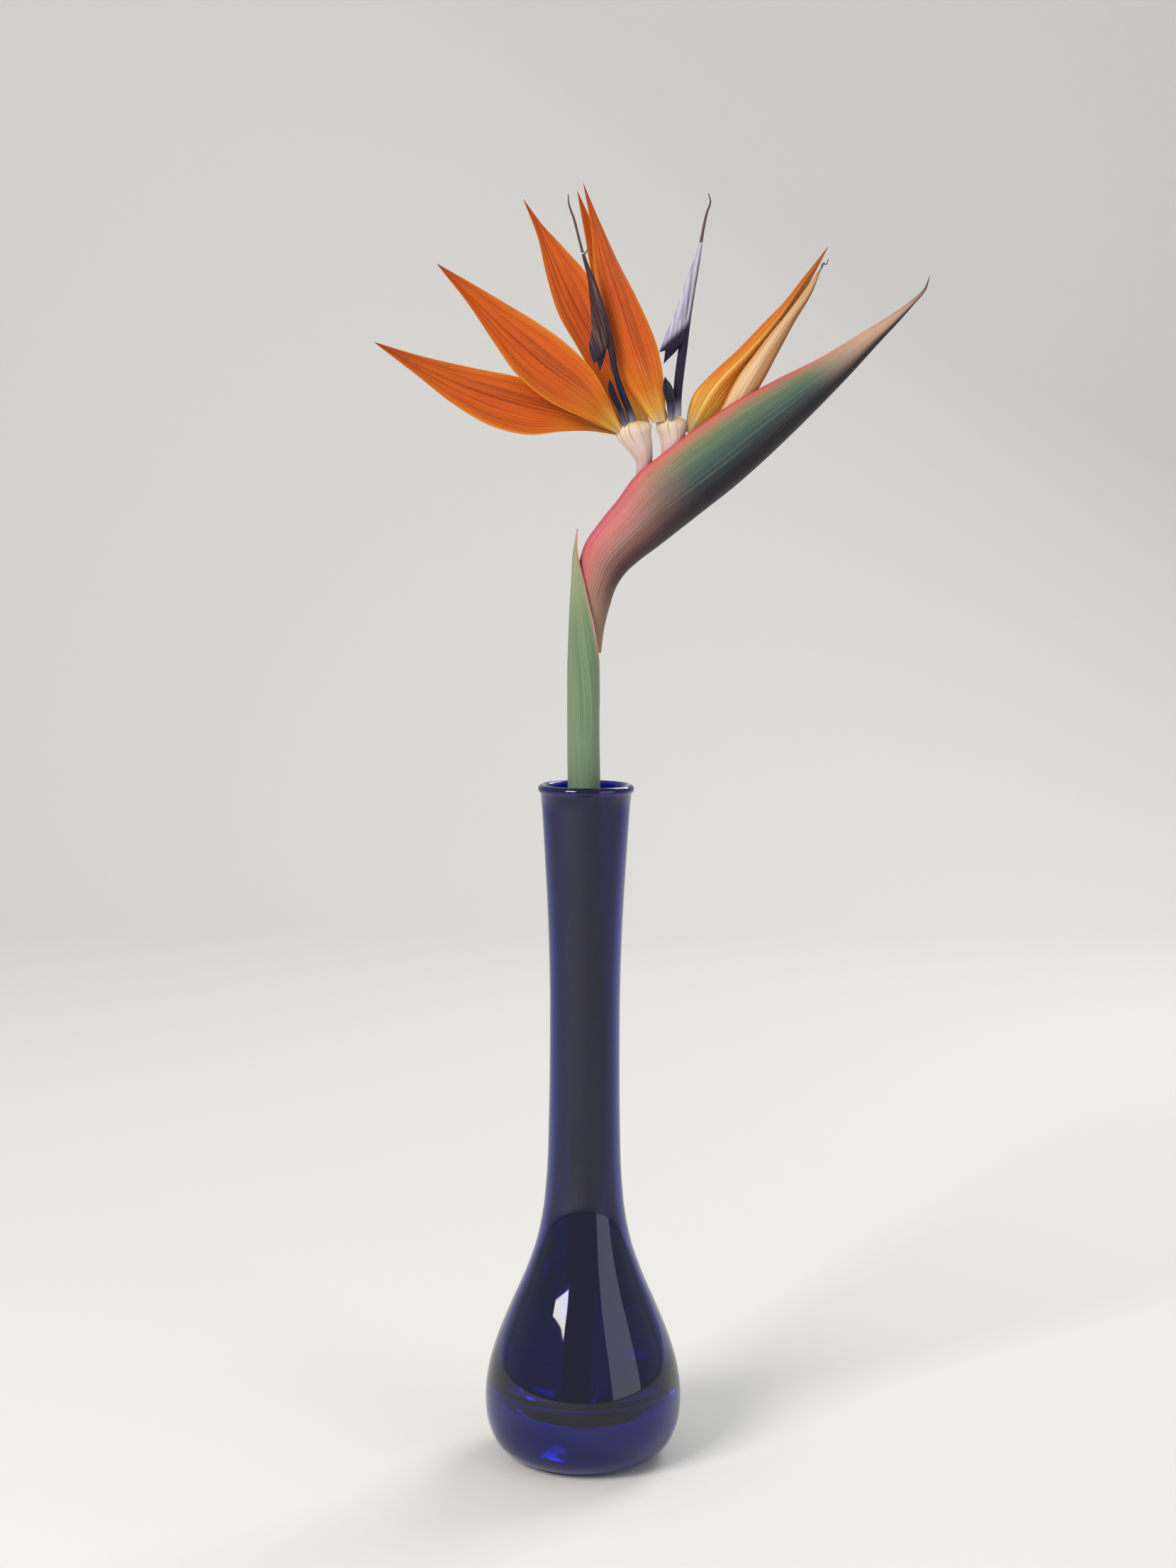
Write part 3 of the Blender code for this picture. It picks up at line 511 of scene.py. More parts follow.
def boolean(target, cutter, operation):
    """Joins or cuts target with cutter for good, and removes cutter."""
    step = target.modifiers.new(operation.lower(), "BOOLEAN")
    step.operation = operation
    step.solver = "EXACT"
    step.object = cutter
    bpy.context.view_layer.update()
    shown = target.evaluated_get(bpy.context.evaluated_depsgraph_get())
    result = bpy.data.meshes.new_from_object(shown)
    old = target.data
    target.modifiers.clear()
    target.data = result
    bpy.data.meshes.remove(old)
    result.name = target.name
    bpy.data.objects.remove(cutter, do_unlink=True)


def shell(name, outer, inner, surface):
    """A closed sheet between two grids of points. Rows run along it, and its last row is one tip."""
    bm = bmesh.new()
    layers = [bm.verts.layers.float.new(key) for key in ("along", "across", "inner")]
    rows, columns = outer.shape[0] - 1, outer.shape[1]

    def point(place, i, j, inside):
        vert = bm.verts.new(place)
        for layer, value in zip(layers, (i / rows, 2 * j / (columns - 1) - 1, inside)):
            vert[layer] = value
        return vert

    out = [[point(p, i, j, 0.0) for j, p in enumerate(row)] for i, row in enumerate(outer[:rows])]
    inn = [[point(p, i, j, 1.0) for j, p in enumerate(row)] for i, row in enumerate(inner[:rows])]
    tip = point(outer[-1][columns // 2], rows, columns // 2, 0.0)
    for i in range(rows):
        for j in range(columns - 1):
            for side, step in ((out, 1), (inn, -1)):
                low = [side[i][j], side[i][j + 1]][::step]
                high = [side[i + 1][j + 1], side[i + 1][j]][::step] if i + 1 < rows else [tip]
                bm.faces.new(low + high)
        for j in (0, columns - 1):
            high = [inn[i + 1][j], out[i + 1][j]] if i + 1 < rows else [tip]
            bm.faces.new([out[i][j], inn[i][j]] + high)
    for j in range(columns - 1):
        bm.faces.new([out[0][j], out[0][j + 1], inn[0][j + 1], inn[0][j]])
    return add_object(name, bm, surface)


def leaf(name, edge, rib, far_edge, thick, surface, rows=84, across=32, crease=0.4, veins=0.07):
    """A blade with a midrib: three curves from its base to one shared tip.

    crease is 0 for a smooth trough across the blade and 1 for a sharp fold at the rib. The blade is
    thickest at the rib and thins to a third at its edges. Ridges as high as veins run along it."""
    a, m, b = (smooth(line, rows)[:, None, :] for line in (edge, rib, far_edge))
    u = np.linspace(-1.0, 1.0, across + 1)[None, :, None]
    folded = m + np.abs(u) * (np.where(u < 0, a, b) - m)
    trough = m + u * (b - a) / 2 + u * u * ((a + b) / 2 - m)
    middle = crease * folded + (1 - crease) * trough
    along = np.gradient(middle, axis=0)
    side = np.gradient(middle, axis=1)
    side[-1] = side[-2]
    along[-1] = along[-2]
    normal = unit(np.cross(along, side))
    width = np.linalg.norm(b - a, axis=2, keepdims=True)
    half = np.minimum(thick / 2, 0.2 * width + 0.1) * (1 - 0.65 * u * u)
    v = np.linspace(0.0, 1.0, rows + 1)[:, None, None]
    middle = middle + normal * veins * np.cos(7 * math.pi * u) * np.sin(math.pi * v)
    middle = middle + normal * 3 * veins * u * u * np.sin(9 * v + 3 * u) * np.sin(math.pi * v)
    return shell(name, middle + normal * half, middle - normal * half, surface)


def tube(name, path, surface, rows=60, sides=32):
    """A closed bar along a path of (x, y, z, half width, half depth). Its width lies in the XZ plane."""
    line = smooth(path, rows)
    centre, wide, deep = line[:, :3], line[:, 3], line[:, 4]
    along = unit(np.gradient(centre, axis=0))
    across = unit(np.cross(along, (0.0, 1.0, 0.0)))
    back = np.cross(across, along)
    bm = bmesh.new()
    far, around = (bm.verts.layers.float.new(key) for key in ("along", "around"))
    rings = []
    for i in range(rows + 1):
        ring = []
        for j in range(sides):
            turn = 2 * math.pi * j / sides
            arm = across[i] * wide[i] * math.cos(turn) + back[i] * deep[i] * math.sin(turn)
            vert = bm.verts.new(centre[i] + arm)
            vert[far] = i / rows
            vert[around] = abs(2 * j / sides - 1)
            ring.append(vert)
        rings.append(ring)
    for low, high in zip(rings, rings[1:]):
        for j in range(sides):
            k = (j + 1) % sides
            bm.faces.new([low[j], low[k], high[k], high[j]])
    bm.faces.new(rings[0][::-1])
    bm.faces.new(rings[-1])
    return add_object(name, bm, surface)


def turned(name, profile, surface, sides=VASE_SIDES):
    """A solid of revolution about Z, from a closed profile of (radius, height) that starts on the axis."""
    bm = bmesh.new()
    verts = [bm.verts.new((r, 0.0, z)) for r, z in profile]
    edges = [bm.edges.new(pair) for pair in zip(verts, verts[1:])]
    bmesh.ops.spin(
        bm,
        geom=verts + edges,
        cent=(0, 0, 0),
        axis=(0, 0, 1),
        angle=2 * math.pi,
        steps=sides,
        use_merge=True,
    )
    return add_object(name, bm, surface)


# ---------------------------------------------------------------- vase and water

# The outer side, from the edge of the flat foot up to the start of the rim's bead
VASE_SIDE = [
    (VASE_FOOT_RADIUS, 0.0),
    (31.5, 2.2),
    (37.0, 6.8),
    (40.6, 14.5),
    (42.0, 27.0),
    (40.4, 40.0),
    (37.0, 51.5),
    (31.6, 65.0),
    (25.1, 80.0),
    (20.8, 92.0),
    (17.9, 105.0),
    (16.1, 122.0),
    (15.2, 148.0),
    (14.9, 178.0),
    (15.0, 205.0),
    (15.8, 232.0),
    (17.2, 258.0),
    (18.6, 281.0),
]


def flat_curve(points, count):
    """A smooth curve through (radius, height) points."""
    return smooth([(r, 0.0, z) for r, z in points], count)[:, [0, 2]]


def cavity_wall(count, inset=0.0):
    """The hollow's wall from the axis on its floor up to just under the rim, moved in by inset."""
    neck = [(r - VASE_WALL - inset, z) for r, z in VASE_SIDE if z > 60.0]
    bowl = [
        (0.0, CAVITY_FLOOR + inset),
        (12.0, CAVITY_FLOOR + 1.0 + inset),
        (24.0, CAVITY_FLOOR + 5.0 + inset),
        (33.6 - inset, CAVITY_FLOOR + 14.0),
        (36.0 - inset, CAVITY_FLOOR + 23.0),
        (33.7 - inset, 51.5),
    ]
    return flat_curve(bowl + neck, count)


def build_vase():
    bead_centre = (RIM_OUTER_RADIUS - RIM_BEAD_RADIUS, VASE_HEIGHT - RIM_BEAD_RADIUS)
    bead = []
    for degrees in range(-60, 241, 10):
        turn = math.radians(degrees)
        r = bead_centre[0] + RIM_BEAD_RADIUS * math.cos(turn)
        z = bead_centre[1] + RIM_BEAD_RADIUS * math.sin(turn)
        bead.append((r, z))
    outside = [tuple(p) for p in flat_curve(VASE_SIDE, 110)]
    inside = [tuple(p) for p in cavity_wall(90)]
    profile = [(0.0, 0.0)] + outside + bead + inside[::-1]
    return turned("vase", profile, cobalt_glass())


def build_water():
    """The water keeps a small gap to the glass and to the stalk that stands in it."""
    wall = [p for p in cavity_wall(160, WATER_GAP) if p[1] < WATER_LEVEL - 3.0][::2]
    radius = cavity_wall(400, WATER_GAP)
    surface_radius = float(radius[np.argmin(np.abs(radius[:, 1] - WATER_LEVEL))][0])
    profile = [tuple(p) for p in wall] + [(surface_radius, WATER_LEVEL), (0.0, WATER_LEVEL)]
    water = turned("water", profile, clear_water())
    grow = GAP + 0.1
    path = [(x, y, z, w + grow, d + grow) for x, y, z, w, d in STALK_PATH if z < WATER_LEVEL + 60]
    x, y, z = path[0][:3]
    path[0] = (x, y, z - GAP, path[0][3], path[0][4])
    hole = tube("water_hole", path, None, rows=60, sides=40)
    boolean(water, hole, "DIFFERENCE")
    return water


# ---------------------------------------------------------------- stalk, sheath and beak

# (x, y, z, half width, half depth): cut end on the vase's floor, leaning on the neck, elbow, rounded end
STALK_PATH = [
    (-2.5, -4.6, 19.8, STALK_RADIUS, STALK_RADIUS),
    (-1.4, -2.4, 60.0, STALK_RADIUS, STALK_RADIUS),
    (0.8, 1.5, 130.0, STALK_RADIUS, STALK_RADIUS),
    (1.4, 3.1, 180.0, STALK_RADIUS, STALK_RADIUS),
    (1.0, 4.2, 222.0, STALK_RADIUS, STALK_RADIUS),
    (0.7, 4.5, 233.0, STALK_RADIUS, STALK_RADIUS),
]
SCAPE_ABOVE = [
    (0.6, 4.6, 235.6, 5.3, 5.3),
    (0.2, 4.7, 250.0, 5.3, 5.3),
    (-1.0, 5.0, 290.0, 5.3, 5.3),
    (-1.3, 5.0, 332.0, 5.3, 5.3),
    (-1.0, 5.0, 338.0, 5.0, 5.0),
    (-0.3, 5.0, 343.5, 4.4, 4.4),
    (0.5, 5.0, 355.5, 4.4, 4.4),
    (2.4, 5.0, 367.0, 4.5, 4.5),
    (5.6, 5.0, 377.5, 4.5, 4.5),
    (11.4, 5.0, 388.8, 4.5, 4.5),
]


def build_scape():
    """The round stalk; its top bends over in the elbow and ends in a dome that the florets stand on."""
    start, end = np.array(SCAPE_ABOVE[-1][:3]), np.array(RACHIS_END)
    way = (end - start) / np.linalg.norm(end - start)
    dome = []
    for degrees in (0, 30, 55, 75, 88):
        turn = math.radians(degrees)
        place = end + way * RACHIS_RADIUS * math.sin(turn)
        dome.append((*place, RACHIS_RADIUS * math.cos(turn), RACHIS_RADIUS * math.cos(turn)))
    return tube("scape", STALK_PATH + SCAPE_ABOVE + dome, stalk_green(), rows=220, sides=40)


# Centre x, radius and half opening in degrees of the sheath, by height; it opens to +X
SHEATH = [
    (0.5, 4.6, SHEATH_FOOT, 6.9, 3.0),
    (0.2, 4.7, 250.0, 6.9, 3.0),
    (-0.9, 5.0, 290.0, 6.9, 3.0),
    (-1.3, 5.0, 325.0, 6.9, 3.0),
    (-1.1, 5.0, 337.0, 7.1, 22.0),
    (-0.3, 5.0, 346.0, 7.7, 48.0),
    (0.4, 5.0, 356.0, 8.1, 70.0),
    (1.0, 5.0, 366.0, 8.3, 92.0),
    (1.9, 5.0, 376.0, 8.6, 115.0),
    (2.4, 5.0, 386.0, 8.6, 145.0),
    (2.0, 5.0, 392.0, 7.2, 168.0),
    (-3.9, 5.0, 397.3, 0.4, 178.0),
]


def build_sheath():
    rows, columns = 90, 80
    line = smooth(SHEATH, rows)
    outer, inner = np.zeros((2, rows + 1, columns + 1, 3))
    for i, (x, y, z, radius, opening) in enumerate(line):
        wall = min(SHEATH_WALL, 0.12 * radius + 0.16)
        for j in range(columns + 1):
            turn = math.radians(opening + (360 - 2 * opening) * j / columns)
            arm = np.array((math.cos(turn), math.sin(turn), 0.0))
            outer[i, j] = (x, y, z) + arm * radius
            inner[i, j] = (x, y, z) + arm * (radius - wall)
    outer[-1] = line[-1][:3]
    return shell("sheath", outer, inner, sheath_green())


# Keel, then margin, as (x, z), with the half depth there and half the gap between the two margins
SPATHE = [
    ((6.0, 345.0), (-6.3, 345.0), 5.75, 0.25),
    ((7.3, 355.0), (-6.0, 356.5), 6.1, 0.25),
    ((9.7, 365.0), (-5.3, 368.0), 6.8, 0.25),
    ((12.2, 372.4), (-4.0, 379.0), 7.6, 0.25),
    ((16.3, 378.6), (-1.2, 390.3), 8.5, 0.25),
    ((21.8, 383.6), (5.2, 399.8), 9.3, 0.25),
    ((29.0, 389.0), (12.4, 408.8), 10.0, 0.6),
    ((37.2, 395.4), (19.6, 418.6), 10.6, 4.4),
    ((47.2, 403.3), (30.8, 427.8), 10.8, 6.2),
    ((62.4, 415.4), (44.2, 438.2), 10.6, 6.4),
    ((78.0, 429.5), (60.8, 449.4), 9.8, 6.4),
    ((93.6, 444.8), (78.4, 459.0), 8.0, 3.6),
    ((109.2, 461.0), (97.2, 468.6), 5.8, 0.6),
    ((122.2, 475.4), (113.4, 478.4), 3.9, 0.25),
    ((129.6, 483.4), (124.8, 485.5), 2.5, 0.2),
    ((136.2, 491.0), (134.2, 492.0), 1.3, 0.15),
    ((141.0, 496.9), (140.2, 497.6), 0.6, 0.1),
    ((142.6, 503.0), (142.4, 503.0), 0.2, 0.05),
]
SPATHE_DEPTH_AT_ELBOW = 5.0
SPATHE_DEPTH_AT_TIP = 14.0


def spathe_rows(line, columns, inset):
    """One grid of points of the beak: each row runs from margin to margin round the keel."""
    grid = np.zeros((len(line), columns + 1, 3))
    for i, (kx, _, kz, mx, mz, depth, gap) in enumerate(line):
        keel, margin = np.array((kx, 0.0, kz)), np.array((mx, 0.0, mz))
        height = np.linalg.norm(margin - keel)
        wall = min(inset, 0.18 * height, 0.35 * depth)
        up = (margin - keel) / height
        share = np.clip(((kx + mx) / 2 - 10.0) / 132.0, 0.0, 1.0)
        centre_y = SPATHE_DEPTH_AT_ELBOW + (SPATHE_DEPTH_AT_TIP - SPATHE_DEPTH_AT_ELBOW) * share
        for j in range(columns + 1):
            t = 2 * j / columns - 1
            turn = math.pi * abs(t)
            side = (depth - wall) * math.sin(turn) ** 0.9 + gap * abs(t) ** 3
            rise = wall + (height - 2 * wall) * (1 - math.cos(turn)) / 2
            grid[i, j] = keel + up * rise
            grid[i, j, 1] = centre_y + math.copysign(side, t)
    return grid


def build_spathe():
    """The beak: a folded bract round the stalk's end, open along the top where the florets come out."""
    stations = [(k[0], 0.0, k[1], m[0], m[1], depth, gap) for k, m, depth, gap in SPATHE]
    line = smooth(stations, 140)
    outer = spathe_rows(line, 72, 0.0)
    inner = spathe_rows(line, 72, SPATHE_WALL)
    return shell("spathe", outer, inner, beak_green())


# ---------------------------------------------------------------- florets


def from_rachis(degrees, end_radius=1.3):
    """Where a floret's tube stands on the stalk's dome, at an angle from +X towards +Z."""
    turn = math.radians(degrees)
    reach = RACHIS_RADIUS + GAP + 0.1
    x, y, z = RACHIS_END
    return (x + reach * math.cos(turn), y, z + reach * math.sin(turn), end_radius, end_radius)


def build_floret_a(orange, white, navy, plum, dark):
    tube(
        "floret_a_base",
        [
            from_rachis(108),
            (18.4, 5.4, 406.0, 1.9, 2.1),
            (21.0, 5.4, 413.0, 2.5, 2.8),
            (23.2, 5.2, 420.0, 3.0, 3.3),
            (23.4, 4.8, 425.5, 3.6, 3.7),
            (22.2, 4.2, 430.0, 5.0, 4.2),
            (20.2, 3.6, 434.5, 6.7, 4.5),
            (19.1, 3.2, 437.4, 7.8, 4.6),
            (18.8, 3.2, 438.8, 7.4, 4.2),
            (18.5, 3.3, 440.4, 5.6, 3.2),
            (18.4, 3.3, 441.6, 2.4, 1.4),
        ],
        white,
        rows=60,
    )
    leaf(
        "sepal_a_lower",
        [
            (11.4, 2.4, 435.7),
            (1.0, -0.5, 437.0),
            (-11.0, -4.0, 436.5),
            (-24.0, -8.0, 435.0),
            (-38.5, -12.0, 438.0),
            (-53.5, -16.0, 446.0),
            (-70.0, -20.0, 458.5),
            (-86.5, -24.0, 471.0),
        ],
        [
            (12.2, 3.6, 436.2),
            (-9.0, -1.0, 443.0),
            (-29.0, -6.5, 447.5),
            (-48.5, -12.5, 453.5),
            (-68.0, -18.0, 461.5),
            (-86.5, -24.0, 471.0),
        ],
        [
            (13.0, 5.0, 437.0),
            (3.0, 0.6, 448.0),
            (-14.0, -4.0, 454.5),
            (-29.0, -8.0, 458.5),
            (-48.5, -13.0, 462.0),
            (-68.0, -19.0, 466.0),
            (-86.5, -24.0, 471.0),
        ],
        SEPAL_THICK,
        orange,
    )
    leaf(
        "sepal_a_middle",
        [
            (12.8, 1.4, 435.7),
            (-2.0, -7.0, 442.0),
            (-16.0, -11.0, 448.5),
            (-29.0, -14.0, 459.0),
            (-38.5, -16.0, 472.0),
            (-48.5, -17.0, 486.5),
            (-61.5, -18.0, 503.0),
        ],
        [
            (13.6, 1.0, 436.4),
            (1.0, -4.0, 449.5),
            (-19.0, -9.5, 464.0),
            (-38.5, -13.5, 481.0),
            (-61.5, -18.0, 503.0),
        ],
        [
            (14.4, 0.4, 437.4),
            (8.4, -2.6, 450.4),
            (1.0, -6.0, 462.5),
            (-9.0, -9.0, 472.0),
            (-19.0, -11.5, 479.0),
            (-33.5, -14.0, 487.5),
            (-48.5, -16.0, 496.0),
            (-61.5, -18.0, 503.0),
        ],
        SEPAL_THICK,
        orange,
    )
    leaf(
        "sepal_a_back",
        [
            (15.0, 7.2, 437.7),
            (6.0, 9.0, 453.5),
            (-4.5, 11.0, 472.0),
            (-12.5, 12.0, 486.0),
            (-17.5, 13.0, 501.5),
            (-21.5, 14.0, 518.0),
            (-27.5, 15.0, 533.5),
        ],
        [
            (20.4, 8.6, 438.9),
            (7.0, 11.5, 465.0),
            (-6.5, 14.0, 491.5),
            (-17.5, 15.0, 515.0),
            (-27.5, 15.0, 533.5),
        ],
        [
            (26.2, 6.8, 439.6),
            (23.6, 8.8, 448.5),
            (16.4, 9.6, 462.5),
            (7.0, 10.5, 484.0),
            (0.0, 11.0, 501.0),
            (-11.5, 13.0, 514.5),
            (-19.5, 14.0, 523.0),
            (-27.5, 15.0, 533.5),
        ],
        SEPAL_THICK,
        orange,
    )
    spine = [
        (19.0, 2.6, 438.0, 1.6, 1.5),
        (17.0, 0.5, 445.5, 1.5, 1.5),
        (14.0, -2.0, 452.5, 1.4, 1.5),
        (11.0, -4.5, 461.5, 1.3, 1.5),
        (9.5, -6.0, 469.5, 1.5, 1.7),
        (7.0, -7.5, 479.5, 1.9, 2.0),
        (4.2, -8.5, 489.0, 1.7, 1.9),
        (0.6, -9.5, 499.0, 1.2, 1.4),
        (-2.3, -10.0, 508.0, 0.6, 0.7),
    ]
    arrow = tube("arrow_a", spine, plum, rows=70, sides=24)
    for name, shift, tip in (
        ("arrow_a_near_lobe", -1.0, (2.3, -8.6, 464.0)),
        ("arrow_a_far_lobe", 1.0, (4.8, -6.4, 461.0)),
    ):
        y = -9.0 + shift
        lobe = leaf(
            name,
            [
                (-2.6, -10.0, 506.5),
                (-0.6, y - 0.4, 499.0),
                (0.6, y, 489.0),
                (1.4, y, 479.0),
                (1.4 + shift, y + 0.4, 469.5),
                tip,
            ],
            [
                (-2.1, -10.0, 506.5),
                (1.0, y, 499.0),
                (3.2, y - 0.3 * shift, 489.0),
                (5.2, y, 479.0),
                (5.0, y + 0.6, 469.5),
                tip,
            ],
            [
                (-1.6, -10.0, 506.5),
                (2.2, y + 0.2, 499.0),
                (5.6, y + 0.5, 489.0),
                (8.0, y + 1.2, 479.5),
                (7.4, y + 1.6, 470.5),
                tip,
            ],
            LOBE_THICK,
            None,
            rows=50,
            across=16,
            veins=0.0,
        )
        boolean(arrow, lobe, "UNION")
    leaf(
        "nectary_a",
        [
            (15.0, 1.6, 436.8),
            (13.4, -0.6, 442.5),
            (10.2, -3.8, 449.5),
            (8.4, -4.8, 454.5),
            (8.8, -5.6, 458.0),
        ],
        [
            (15.8, 1.0, 437.0),
            (14.2, -1.8, 443.5),
            (10.4, -5.2, 450.5),
            (9.4, -6.0, 455.0),
            (8.8, -5.6, 458.0),
        ],
        [
            (16.8, 1.4, 437.2),
            (15.0, -1.8, 444.5),
            (12.0, -5.4, 450.9),
            (10.2, -6.4, 455.5),
            (8.8, -5.6, 458.0),
        ],
        LOBE_THICK * 0.7,
        navy,
        rows=40,
        across=16,
    )
    tube(
        "stigma_a",
        [
            (-2.5, -10.1, 508.5, 0.6, 0.6),
            (-4.4, -11.0, 515.5, 0.5, 0.5),
            (-6.0, -12.0, 521.5, 0.5, 0.5),
            (-8.2, -13.0, 527.8, 0.35, 0.35),
            (-8.5, -13.0, 531.5, 0.2, 0.2),
        ],
        dark,
        rows=40,
        sides=16,
    )


def build_floret_b(orange, keeled, white, navy, lavender, dark):
    tube(
        "floret_b_base",
        [
            from_rachis(66),
            (23.6, 5.4, 406.5, 2.0, 2.2),
            (28.0, 5.6, 414.0, 2.6, 3.0),
            (33.0, 5.8, 422.5, 3.6, 3.7),
            (35.2, 5.6, 430.0, 4.7, 4.2),
            (35.2, 5.4, 436.0, 5.5, 4.6),
            (34.6, 5.2, 440.4, 6.3, 4.8),
            (34.5, 5.2, 441.8, 5.9, 4.3),
            (34.4, 5.2, 443.4, 4.3, 3.2),
            (34.3, 5.2, 444.4, 1.8, 1.4),
        ],
        white,
        rows=60,
    )
    leaf(
        "sepal_b_front",
        [
            (27.0, 2.4, 440.6),
            (18.5, -0.4, 452.5),
            (10.5, -1.0, 468.0),
            (5.0, -1.0, 488.0),
            (2.0, 0.0, 505.0),
            (1.0, 1.0, 520.0),
            (-2.5, 3.0, 538.5),
        ],
        [
            (30.4, 0.8, 441.2),
            (21.5, -3.0, 464.0),
            (13.0, -3.4, 489.5),
            (5.0, -1.0, 514.0),
            (-2.5, 3.0, 538.5),
        ],
        [
            (32.2, 1.2, 441.4),
            (31.5, -0.4, 455.0),
            (28.5, -1.0, 471.0),
            (21.0, -1.0, 489.0),
            (11.0, 0.0, 508.0),
            (4.0, 1.0, 523.0),
            (-2.5, 3.0, 538.5),
        ],
        SEPAL_THICK,
        orange,
    )
    leaf(
        "sepal_b_back",
        [
            (30.0, 9.0, 441.2),
            (18.0, 7.4, 456.5),
            (8.0, 6.6, 481.0),
            (1.5, 6.4, 501.0),
            (-2.0, 6.6, 519.0),
            (-5.0, 7.0, 536.0),
        ],
        [
            (32.0, 9.8, 441.2),
            (21.0, 9.4, 466.0),
            (9.5, 9.4, 493.0),
            (1.5, 8.6, 516.5),
            (-5.0, 7.0, 536.0),
        ],
        [
            (34.0, 9.2, 441.2),
            (26.0, 7.2, 468.5),
            (13.0, 6.6, 496.0),
            (4.0, 6.4, 517.0),
            (-5.0, 7.0, 536.0),
        ],
        SEPAL_THICK,
        orange,
    )
    leaf(
        "sepal_b_keel",
        [
            (40.2, 6.2, 437.4),
            (44.0, 7.4, 452.5),
            (51.0, 8.8, 460.5),
            (61.5, 9.8, 470.5),
            (71.5, 10.2, 481.0),
            (81.5, 10.0, 491.0),
            (89.5, 9.2, 501.0),
            (99.5, 8.0, 514.0),
        ],
        [
            (42.0, 5.4, 436.6),
            (53.0, 5.8, 455.5),
            (66.0, 7.2, 469.0),
            (79.5, 7.8, 484.5),
            (90.5, 7.9, 501.0),
            (99.5, 8.0, 514.0),
        ],
        [
            (43.8, 7.4, 434.6),
            (60.8, 11.8, 446.6),
            (71.4, 13.8, 462.6),
            (80.5, 14.0, 480.0),
            (90.5, 11.6, 497.0),
            (99.5, 8.0, 514.0),
        ],
        SEPAL_THICK,
        keeled,
    )
    spine = [
        (37.0, 5.4, 441.3, 2.0, 1.7),
        (37.0, 4.6, 450.0, 1.9, 1.7),
        (37.8, 3.4, 460.0, 1.9, 1.7),
        (39.0, 2.4, 470.0, 1.9, 1.8),
        (40.4, 1.4, 482.0, 1.8, 2.0),
        (42.4, 0.6, 495.0, 1.6, 1.8),
        (44.4, 0.2, 505.0, 1.2, 1.3),
        (46.0, 0.0, 513.5, 0.7, 0.8),
    ]
    arrow = tube("arrow_b", spine, lavender, rows=70, sides=24)
    for name, shift, tip in (
        ("arrow_b_near_lobe", -1.0, (29.2, -1.6, 469.2)),
        ("arrow_b_far_lobe", 1.0, (31.2, 2.4, 464.8)),
    ):
        lobe = leaf(
            name,
            [
                (45.2, 0.0, 512.0),
                (42.4, 0.3 * shift, 505.0),
                (39.4, 0.8 * shift, 496.0),
                (36.0, shift, 486.0),
                (32.6 + 0.4 * shift, 1.2 * shift, 477.0),
                tip,
            ],
            [
                (45.7, 0.0, 512.0),
                (43.2, 0.4 * shift, 505.0),
                (40.8, shift, 496.0),
                (38.2, 1.6 * shift, 486.0),
                (35.4, 1.8 * shift, 476.5),
                tip,
            ],
            [
                (46.2, 0.0, 512.0),
                (44.4, 0.4 * shift, 505.0),
                (42.4, 0.8 * shift, 496.0),
                (40.6, 1.2 * shift + 0.6, 486.0),
                (38.4, 1.4 * shift + 1.0, 473.0),
                tip,
            ],
            LOBE_THICK,
            None,
            rows=50,
            across=16,
            veins=0.0,
        )
        boolean(arrow, lobe, "UNION")
    leaf(
        "nectary_b",
        [
            (33.6, 1.2, 441.4),
            (32.8, -1.4, 447.0),
            (31.2, -1.4, 453.5),
            (31.6, -1.4, 459.5),
        ],
        [
            (34.4, 0.8, 441.4),
            (34.2, -2.6, 447.5),
            (33.4, -3.0, 453.5),
            (31.6, -1.4, 459.5),
        ],
        [
            (35.4, 1.4, 441.4),
            (35.8, -0.6, 447.5),
            (35.0, -1.0, 454.0),
            (31.6, -1.4, 459.5),
        ],
        LOBE_THICK * 0.7,
        navy,
        rows=40,
        across=16,
    )
    tube(
        "stigma_b",
        [
            (46.1, 0.0, 514.1, 0.7, 0.7),
            (46.9, 0.0, 519.0, 0.6, 0.6),
            (48.4, -0.3, 526.0, 0.5, 0.5),
            (49.8, -0.6, 531.0, 0.35, 0.35),
            (48.9, -0.6, 533.8, 0.2, 0.2),
        ],
        dark,
        rows=40,
        sides=16,
    )


